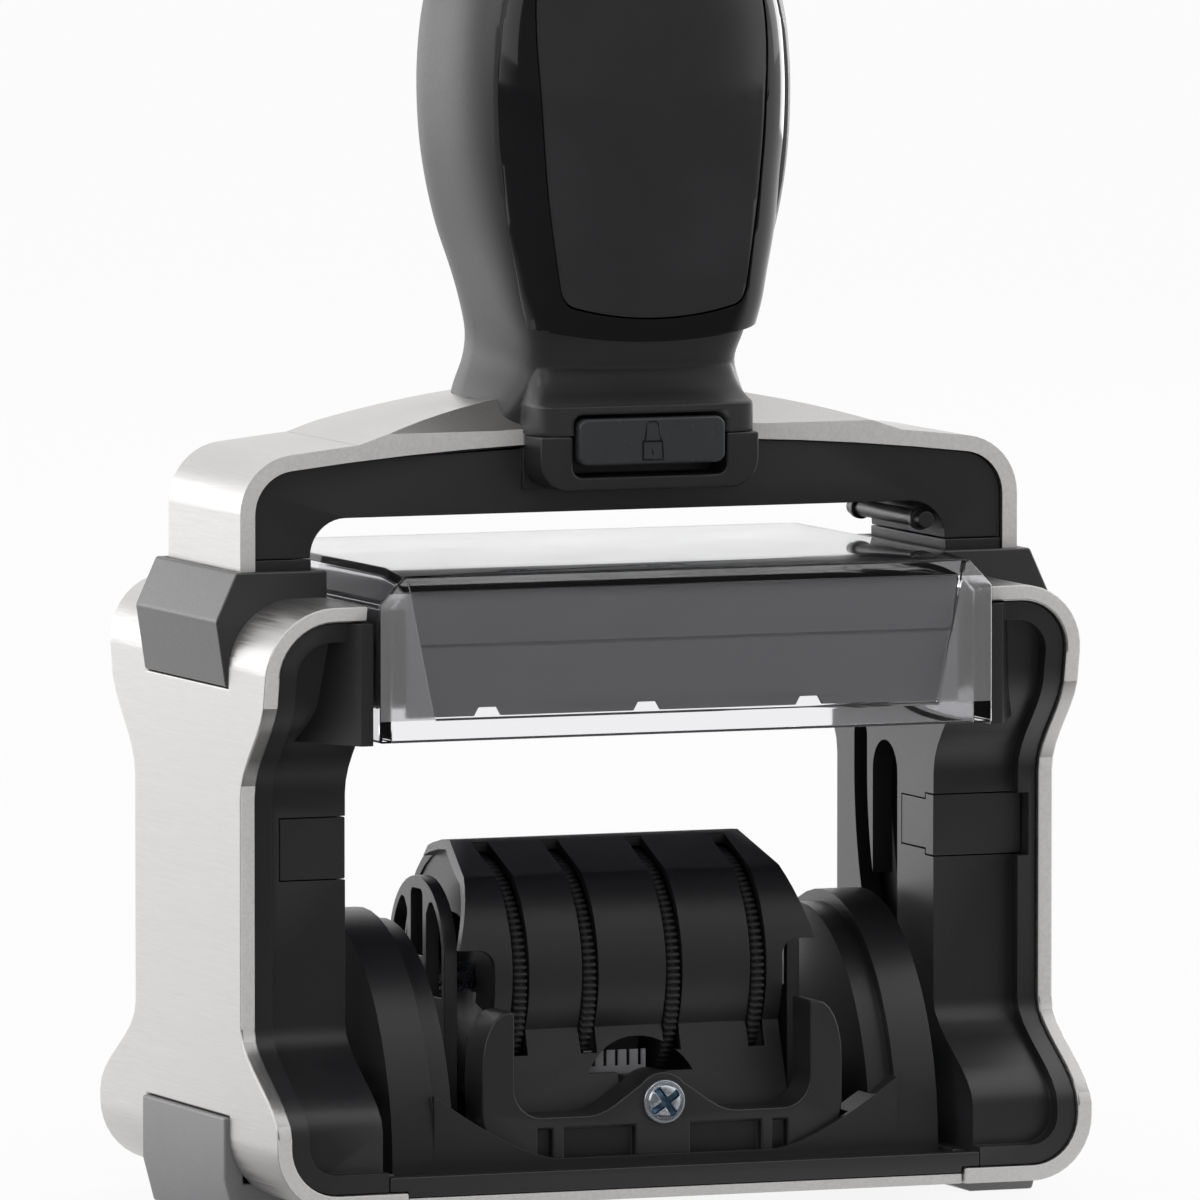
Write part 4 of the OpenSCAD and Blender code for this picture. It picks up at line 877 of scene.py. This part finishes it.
class STAMP_OT_cassette(StampOperator, bpy.types.Operator):
    """Clear cover, insert, tray and felt"""

    bl_idname = "stamp.cassette"
    bl_label = "Pad cassette"

    def build(self, sizes):
        hood = rounded_piece("clear_cover", "clear_hood", "clear_plastic", sizes.edge)
        self.frost(hood)
        self.insert()
        rounded_piece("pad_tray", "pad_box", "pad_grey", sizes.edge)
        self.felt()

    def frost(self, hood):
        """Frosts the end pillars of the hood's front, and gives its rim above the insert a dark finish as
        painted shade.
        """
        low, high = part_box("clear_cover")
        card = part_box("insert_card")
        pane_low, rim = card[0].z - SEAT * MM, card[1].z
        pillar, rim_depth, pane_depth, facing = 6.2 * MM, 1 * MM, 0.3 * MM, 0.7
        bm = bmesh.new()
        bm.from_mesh(hood.data)
        for z in (pane_low, rim):
            everything = bm.verts[:] + bm.edges[:] + bm.faces[:]
            bmesh.ops.bisect_plane(bm, geom=everything, plane_co=(0, 0, z), plane_no=(0, 0, 1))
        for face in bm.faces:
            middle = face.calc_center_median()
            outer = middle.z > pane_low and abs(middle.x) > high.x - pillar
            if face.normal.y >= -facing:
                continue
            # Front faces above the insert get the dark finish: painted shade.
            if middle.z > rim and middle.y < low.y + rim_depth:
                face.material_index = 2
            elif outer and middle.y < low.y + pane_depth:
                face.material_index = 1
        bm.to_mesh(hood.data)
        bm.free()
        hood.data.materials.append(FINISHES["frosted_clear"])
        hood.data.materials.append(FINISHES["clear_painted_shade"])

    def insert(self):
        """The grey insert behind the window, with a seam across it."""
        low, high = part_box("insert_card")
        front, end = low.y / MM, high.x / MM
        seam, depth, half, past, edge = 58.5, 0.3, 0.16, 1, 0.05
        panel = new_piece("grey_insert", node_mesh("insert_card"))
        groove = rectangle(front - past, front + depth, seam - half, seam + half)
        carve(panel, prism(groove, -end - past, end + past, "X"), "DIFFERENCE")
        soften(panel, edge * MM, 32, 1)
        flat_normals(panel)
        # The insert takes the lightened finish: painted light.
        settle(panel, "insert_grey_painted_light", "insert_card", slot="pad_grey")

    def felt(self):
        """A felt pad with soft edges and a fibrous face."""
        low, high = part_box("ink_felt")
        soft = 0.7 * MM
        bm = bmesh.new()
        bmesh.ops.create_cube(bm, size=1)
        size, middle = high - low, (low + high) / 2
        for v in bm.verts:
            v.co = Vector([v.co[i] * size[i] + middle[i] for i in range(3)])
        bmesh.ops.bevel(bm, geom=bm.edges[:], offset=soft, segments=3, profile=0.5, affect="EDGES")
        bmesh.ops.subdivide_edges(bm, edges=bm.edges[:], cuts=5, use_grid_fill=True)
        pad = new_piece("felt_pad", bm)
        settle(pad, "inked_felt", "ink_felt")


class STAMP_OT_print_unit(StampOperator, bpy.types.Operator):
    """Cradle, text plate, die, end plates, screws and axles"""

    bl_idname = "stamp.print_unit"
    bl_label = "Print unit"

    def build(self, sizes):
        rounded_piece("print_cradle", "flip_cradle", "black_plastic", sizes.edge)
        rounded_piece("text_plate", "die_plate", "plate_plastic", sizes.fine_edge)
        rounded_piece("text_die", "rubber_die", "die_rubber", sizes.fine_edge)
        for end in ("front", "rear"):
            rounded_piece(end + "_plate", end + "_lip", "black_plastic", sizes.edge)
        self.screws()
        rounded_piece("pivot_axles", "flip_axles", "zinc_steel", sizes.fine_edge)
        rounded_piece("flip_pins", "cam_pins", "zinc_steel", sizes.fine_edge)

    def screws(self):
        """Domed screws with a stepped rim and a cross recess."""
        low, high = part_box("plate_screws")
        axis = (low.z + high.z) / 2 / MM
        r, face = high.x / MM, high.y / MM
        head, length, shank = 0.9, 7.2, 1.3
        seat, tip = face - head, face - length
        dome = [(shank, tip), (shank, seat), (r, seat)]
        dome += [(r - inset, face - drop) for inset, drop in SCREW_DOME]
        arm, half, depth = 1.6, 0.36, 0.65
        rim, skin, upright, edge = 0.5, 0.2, 0.3, 0.05
        heads = gather([turned([(radius, way * y) for radius, y in dome], 0, axis) for way in (1, -1)])
        screws = new_piece("cross_screws", heads)
        for way in (1, -1):
            for turn in (35, 125):
                c, s = math.cos(math.radians(turn)), math.sin(math.radians(turn))
                bar = [(c * u - s * v, axis + s * u + c * v) for u, v in rectangle(-arm, arm, -half, half)]
                ends = sorted((way * (face - depth), way * FAR))
                carve(screws, prism(bar, *ends), "DIFFERENCE")
        soften(screws, edge * MM, 50, 1)
        flat_normals(screws)
        settle(screws, "zinc_steel", "plate_screws")
        screws.data.materials.append(FINISHES["screw_recess_shade"])
        # Faces deep in the cross recess take the darker finish: painted shade.
        for part in screws.data.polygons:
            middle = part.center / MM
            inside = math.hypot(middle.x, middle.z - axis) < r - rim
            deep = abs(middle.y) < face - skin or abs(part.normal.y) < upright
            if inside and deep and abs(middle.y) > seat - SEAT:
                part.material_index = 1


class STAMP_OT_date_works(StampOperator, bpy.types.Operator):
    """Wheel cover, thumbwheels, bands, bridge, shields and comb"""

    bl_idname = "stamp.date_works"
    bl_label = "Date works"

    BORE = 1.55

    def dial(self, node, name, sizes):
        """A thumbwheel: a finely toothed rim, a hub and its bore, as one turned ring."""
        low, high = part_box(node)
        middle = (low.z + high.z) / 2
        outer = (high.z - low.z) / 2
        inner = outer - sizes.tooth
        rim, hub, bore, soft = 1.2 * MM, 5 * MM, self.BORE * MM, 0.1 * MM
        rim_end = low.x + rim
        steps = (outer, outer, inner, inner)
        count = 4 * sizes.teeth
        rings = ((low.x, bore), (low.x, None), (rim_end, None), (rim_end, hub),
                 (high.x - soft, hub), (high.x, hub - soft), (high.x, bore))
        bm = bmesh.new()
        made = []
        for x, radius in rings:
            ring = []
            for k in range(count):
                a = 2 * math.pi * (k + 0.5 * (k % 2)) / count
                r = steps[k % 4] if radius is None else radius
                ring.append(bm.verts.new((x, r * math.cos(a), middle + r * math.sin(a))))
            made.append(ring)
        join_rings(bm, made + made[:1])
        keep_sharp(bm, 25)
        settle(new_piece(name, bm), "dial_plastic", node)

    def build(self, sizes):
        rounded_piece("wheel_cover", "drum_cover", "black_plastic", sizes.fine_edge)
        for i in range(1, 5):
            self.dial("thumbwheel_%d" % i, "dial_%d" % i, sizes)
            rounded_piece("date_band_%d" % i, "rubber_band_%d" % i, "die_rubber", sizes.fine_edge)
        rounded_piece("wheel_axle", "dial_axle", "zinc_steel", sizes.fine_edge)
        rounded_piece("band_bridge", "bridge_bar", "light_plastic", sizes.fine_edge)
        for side in ("left", "right"):
            self.shield(side, sizes)
        self.comb()
        self.drum_shade_plates()

    def axis(self):
        low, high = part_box("wheel_axle")
        return (low.z + high.z) / 2 / MM

    def shield(self, side, sizes):
        """An end shield: an arch with a tall middle opening, a leaf each side of it and the axle's bore."""
        low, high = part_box("end_shield_" + side)
        x0, x1, foot, half = low.x / MM, high.x / MM, low.z / MM, high.y / MM
        crown = high.z / MM - half
        rim, rib, middle, past = 0.9, 1.1, 1.6, 1
        leaf, inner = middle + rib, half - rim
        tall_low, tall_high, r = crown - 0.2, crown + 5.8, 0.7
        leaf_low, leaf_side, leaf_high, tip = crown - 4, crown + 4.2, crown + 5.3, 0.8
        outline = [(half, foot), *arc(0, crown, half, 0, 180, 24), (-half, foot)]
        tall = [(-middle, tall_low), (middle, tall_low), *arc(middle - r, tall_high, r, 0, 90, 4),
                *arc(r - middle, tall_high, r, 90, 180, 4)]
        curve = [(leaf, leaf_low), (inner, leaf_low), *arc(0, crown, inner, 0, 52, 8),
                 (leaf + tip, leaf_high), (leaf, leaf_side)]
        bore = arc(0, self.axis(), self.BORE, 0, 360, 24)[:-1]
        plate = new_piece("slotted_shield_" + side, prism(outline, x0, x1, "X"))
        for hole in (tall, curve, [(-y, z) for y, z in curve], bore):
            carve(plate, prism(hole, x0 - past, x1 + past, "X"), "DIFFERENCE")
        soften(plate, sizes.fine_edge)
        flat_normals(plate)
        settle(plate, "grey_plastic", "end_shield_" + side)

    def comb(self):
        """The index comb, whose teeth end beside the screw's post."""
        low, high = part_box("index_comb")
        pitch, half, rise, drop, edge = 1.25, 0.2, 0.4, 1.2, 0.05
        left, right, foot = low.x / MM, 1.2, low.z / MM
        top, root = high.z / MM + rise, high.z / MM - drop
        outline = [(left, foot), (right, foot), (right, top)]
        x = right - pitch / 2
        while x > left + pitch / 2:
            outline += [(x + half, top), (x + half, root), (x - half, root), (x - half, top)]
            x -= pitch
        outline.append((left, top))
        bm = prism(outline, low.y / MM, high.y / MM)
        round_edges(bm, edge * MM, 32, 1)
        comb = new_piece("pale_comb", bm)
        flat_normals(comb)
        # The pale comb takes the darker plate finish as painted shade.
        settle(comb, "plate_plastic", "index_comb", slot="light_plastic")

    def drum_shade_plates(self):
        """Dark plates inside the cover that close its two ends round the bands: painted shade, so that the
        inside of the drum shows dark through its slots.
        """
        axis = self.axis()
        ridge, brow, brow_angle, band = 13.4, 11.4, 112, 6.6
        outline = []
        back, front = range(-100, 1, 10), range(35, 108, 8)
        for a in (*back, *front):
            r = ridge + (brow - ridge) * max(0, a) / brow_angle
            outline.append((-r * math.sin(math.radians(a)), axis + r * math.cos(math.radians(a))))
        outline += arc(0, axis, band, 198, -10, 24)
        near, far = 14.6, 15.4
        bm = gather([prism(outline, near, far, "X"), prism(outline, -far, -near, "X")])
        keep_sharp(bm, 30)
        settle(new_piece("drum_shade_plates", bm), "black_plastic", body=BODY_OF["wheel_cover"])


class STAMP_OT_stage(StampOperator, bpy.types.Operator):
    """Floor, soft light and the camera at the photographed angle"""

    bl_idname = "stamp.stage"
    bl_label = "Stage"

    FRONT = (-0.37, -0.93, 0.0)
    MIDDLE = (0, 0, 0.06)
    TARGET = (0.00055, -0.00022, 0.0605)
    LAMPS = (
        ("back_left_panel", (-0.50, 1.05, 0.17), 0.7, 0.34, 1.0),
        ("left_softbox", (-0.95, -0.10, 0.50), 0.7, 0.7, 1.5),
        ("front_softbox", (-0.45, -1.0, 1.1), 0.6, 0.5, 1.6),
        ("right_softbox", (0.95, 0.25, 0.45), 0.5, 0.7, 1.2),
        ("back_right_panel", (1.0, 0.68, 0.17), 0.5, 0.34, 1.8),
    )

    def build(self, sizes):
        scene = bpy.context.scene
        scene.view_settings.view_transform = "Standard"
        self.floor(scene.stamp_colours.floor)
        self.world(scene)
        for name, place, width, height, power in self.LAMPS:
            self.lamp(name, place, width, height, power)
        self.camera(scene, sizes)

    def camera(self, scene, sizes):
        a, e = sizes.azimuth, sizes.elevation
        back = Vector((-math.sin(a) * math.cos(e), -math.cos(a) * math.cos(e), math.sin(e)))
        data = bpy.data.cameras.new("photo_camera")
        data.sensor_width = 36
        data.lens = sizes.lens
        data.clip_start = 0.01
        data.clip_end = 50
        camera = bpy.data.objects.new("photo_camera", data)
        camera.location = Vector(self.TARGET) + back * sizes.distance
        camera.rotation_euler = back.to_track_quat("Z", "Y").to_euler()
        scene.collection.objects.link(camera)
        scene.camera = camera

    def lamp(self, name, place, width, height, power):
        data = bpy.data.lights.new(name, "AREA")
        data.shape = "RECTANGLE"
        data.size, data.size_y, data.energy = width, height, power
        lamp = bpy.data.objects.new(name, data)
        lamp.location = place
        lamp.rotation_euler = (Vector(place) - Vector(self.MIDDLE)).to_track_quat("Z", "Y").to_euler()
        lamp.visible_camera = False
        bpy.context.scene.collection.objects.link(lamp)

    def seen(self, tree):
        """One where the ray comes from the camera, a reflection or clear plastic."""
        path = tree.nodes.new("ShaderNodeLightPath")
        value = path.outputs["Is Camera Ray"]
        for name in ("Is Glossy Ray", "Is Transmission Ray"):
            value = self.larger(tree, value, path.outputs[name])
        return value

    def fading(self, tree, vector, reach, near, far):
        """A strength that falls from near to far on the side that the photograph is taken from."""
        dot = tree.nodes.new("ShaderNodeVectorMath")
        dot.operation = "DOT_PRODUCT"
        dot.inputs[1].default_value = self.FRONT
        tree.links.new(vector, dot.inputs[0])
        span = map_range(tree, dot.outputs["Value"], *reach, near, far)
        span.interpolation_type = "SMOOTHSTEP"
        return span.outputs["Result"]

    def larger(self, tree, a, b):
        most = tree.nodes.new("ShaderNodeMath")
        most.operation = "MAXIMUM"
        tree.links.new(a, most.inputs[0])
        tree.links.new(b, most.inputs[1])
        return most.outputs[0]

    def mix(self, tree, factor, a, b, output):
        """Mixes two shaders into an output."""
        mix = tree.nodes.new("ShaderNodeMixShader")
        tree.links.new(factor, mix.inputs["Fac"])
        tree.links.new(a.outputs[0], mix.inputs[1])
        tree.links.new(b.outputs[0], mix.inputs[2])
        tree.links.new(mix.outputs[0], tree.nodes[output].inputs["Surface"])

    def world(self, scene):
        """A white surround, dimmer in reflections of the near side."""
        world = bpy.data.worlds.new("studio")
        world.use_nodes = True
        tree = world.node_tree
        way = tree.nodes.new("ShaderNodeTexCoord").outputs["Generated"]
        camera_ray = tree.nodes.new("ShaderNodeLightPath").outputs["Is Camera Ray"]
        soft = tree.nodes["Background"]
        soft.inputs["Color"].default_value = (1, 1, 1, 1)
        tree.links.new(self.fading(tree, way, (0.0, 0.9), 0.75, 0.40), soft.inputs["Strength"])
        white = tree.nodes.new("ShaderNodeBackground")
        white.inputs["Color"].default_value = (1, 1, 1, 1)
        dim = self.fading(tree, way, (0.05, 0.75), 1.0, 0.16)
        tree.links.new(self.larger(tree, camera_ray, dim), white.inputs["Strength"])
        self.mix(tree, self.seen(tree), soft, white, "World Output")
        scene.world = world

    def floor(self, colour):
        """A pale table top that shows white, dimmer in reflections of the near side."""
        bm = bmesh.new()
        bmesh.ops.create_circle(bm, cap_ends=True, segments=96, radius=6)
        floor = new_piece("table_top", bm)
        material = bpy.data.materials.new("pale_table")
        material.use_nodes = True
        tree = material.node_tree
        shader = tree.nodes["Principled BSDF"]
        shader.inputs["Base Color"].default_value = (*colour, 1)
        shader.inputs["Roughness"].default_value = 0.6
        glow = tree.nodes.new("ShaderNodeEmission")
        glow.inputs["Color"].default_value = (1, 1, 1, 1)
        place = tree.nodes.new("ShaderNodeTexCoord").outputs["Object"]
        camera_ray = tree.nodes.new("ShaderNodeLightPath").outputs["Is Camera Ray"]
        dim = self.fading(tree, place, (-0.05, 0.09), 1.0, 0.06)
        tree.links.new(self.larger(tree, camera_ray, dim), glow.inputs["Strength"])
        share = tree.nodes.new("ShaderNodeMath")
        share.operation = "MULTIPLY"
        share.inputs[1].default_value = 0.9
        tree.links.new(self.seen(tree), share.inputs[0])
        self.mix(tree, share.outputs[0], shader, glow, "Material Output")
        floor.data.materials.append(material)


OPERATORS = (
    STAMP_OT_finishes, STAMP_OT_stage, STAMP_OT_steel, STAMP_OT_base, STAMP_OT_arch, STAMP_OT_handle,
    STAMP_OT_lock, STAMP_OT_springs, STAMP_OT_cassette, STAMP_OT_print_unit, STAMP_OT_date_works,
)


class STAMP_PT_panel(bpy.types.Panel):
    """Lists the stamp's operators, sizes and colours"""

    bl_idname = "STAMP_PT_panel"
    bl_label = "Date stamp"
    bl_space_type = "VIEW_3D"
    bl_region_type = "UI"
    bl_category = "Date stamp"

    def draw(self, context):
        layout = self.layout
        for operator in OPERATORS:
            layout.operator(operator.bl_idname)
        for group in (context.scene.stamp_sizes, context.scene.stamp_colours):
            column = layout.column()
            for name in group.__annotations__:
                column.prop(group, name)


CLASSES = (StampColours, StampSizes, *OPERATORS, STAMP_PT_panel)


def register():
    for cls in CLASSES:
        bpy.utils.register_class(cls)
    bpy.types.Scene.stamp_sizes = bpy.props.PointerProperty(type=StampSizes)
    bpy.types.Scene.stamp_colours = bpy.props.PointerProperty(type=StampColours)


def unregister():
    del bpy.types.Scene.stamp_sizes
    del bpy.types.Scene.stamp_colours
    for cls in reversed(CLASSES):
        bpy.utils.unregister_class(cls)


def main():
    register()
    bpy.ops.stamp.finishes()
    bpy.ops.stamp.stage()
    bpy.ops.stamp.steel()
    bpy.ops.stamp.base()
    bpy.ops.stamp.arch()
    bpy.ops.stamp.handle()
    bpy.ops.stamp.lock()
    bpy.ops.stamp.springs()
    bpy.ops.stamp.cassette()
    bpy.ops.stamp.print_unit()
    bpy.ops.stamp.date_works()


if __name__ == "__main__":
    main()
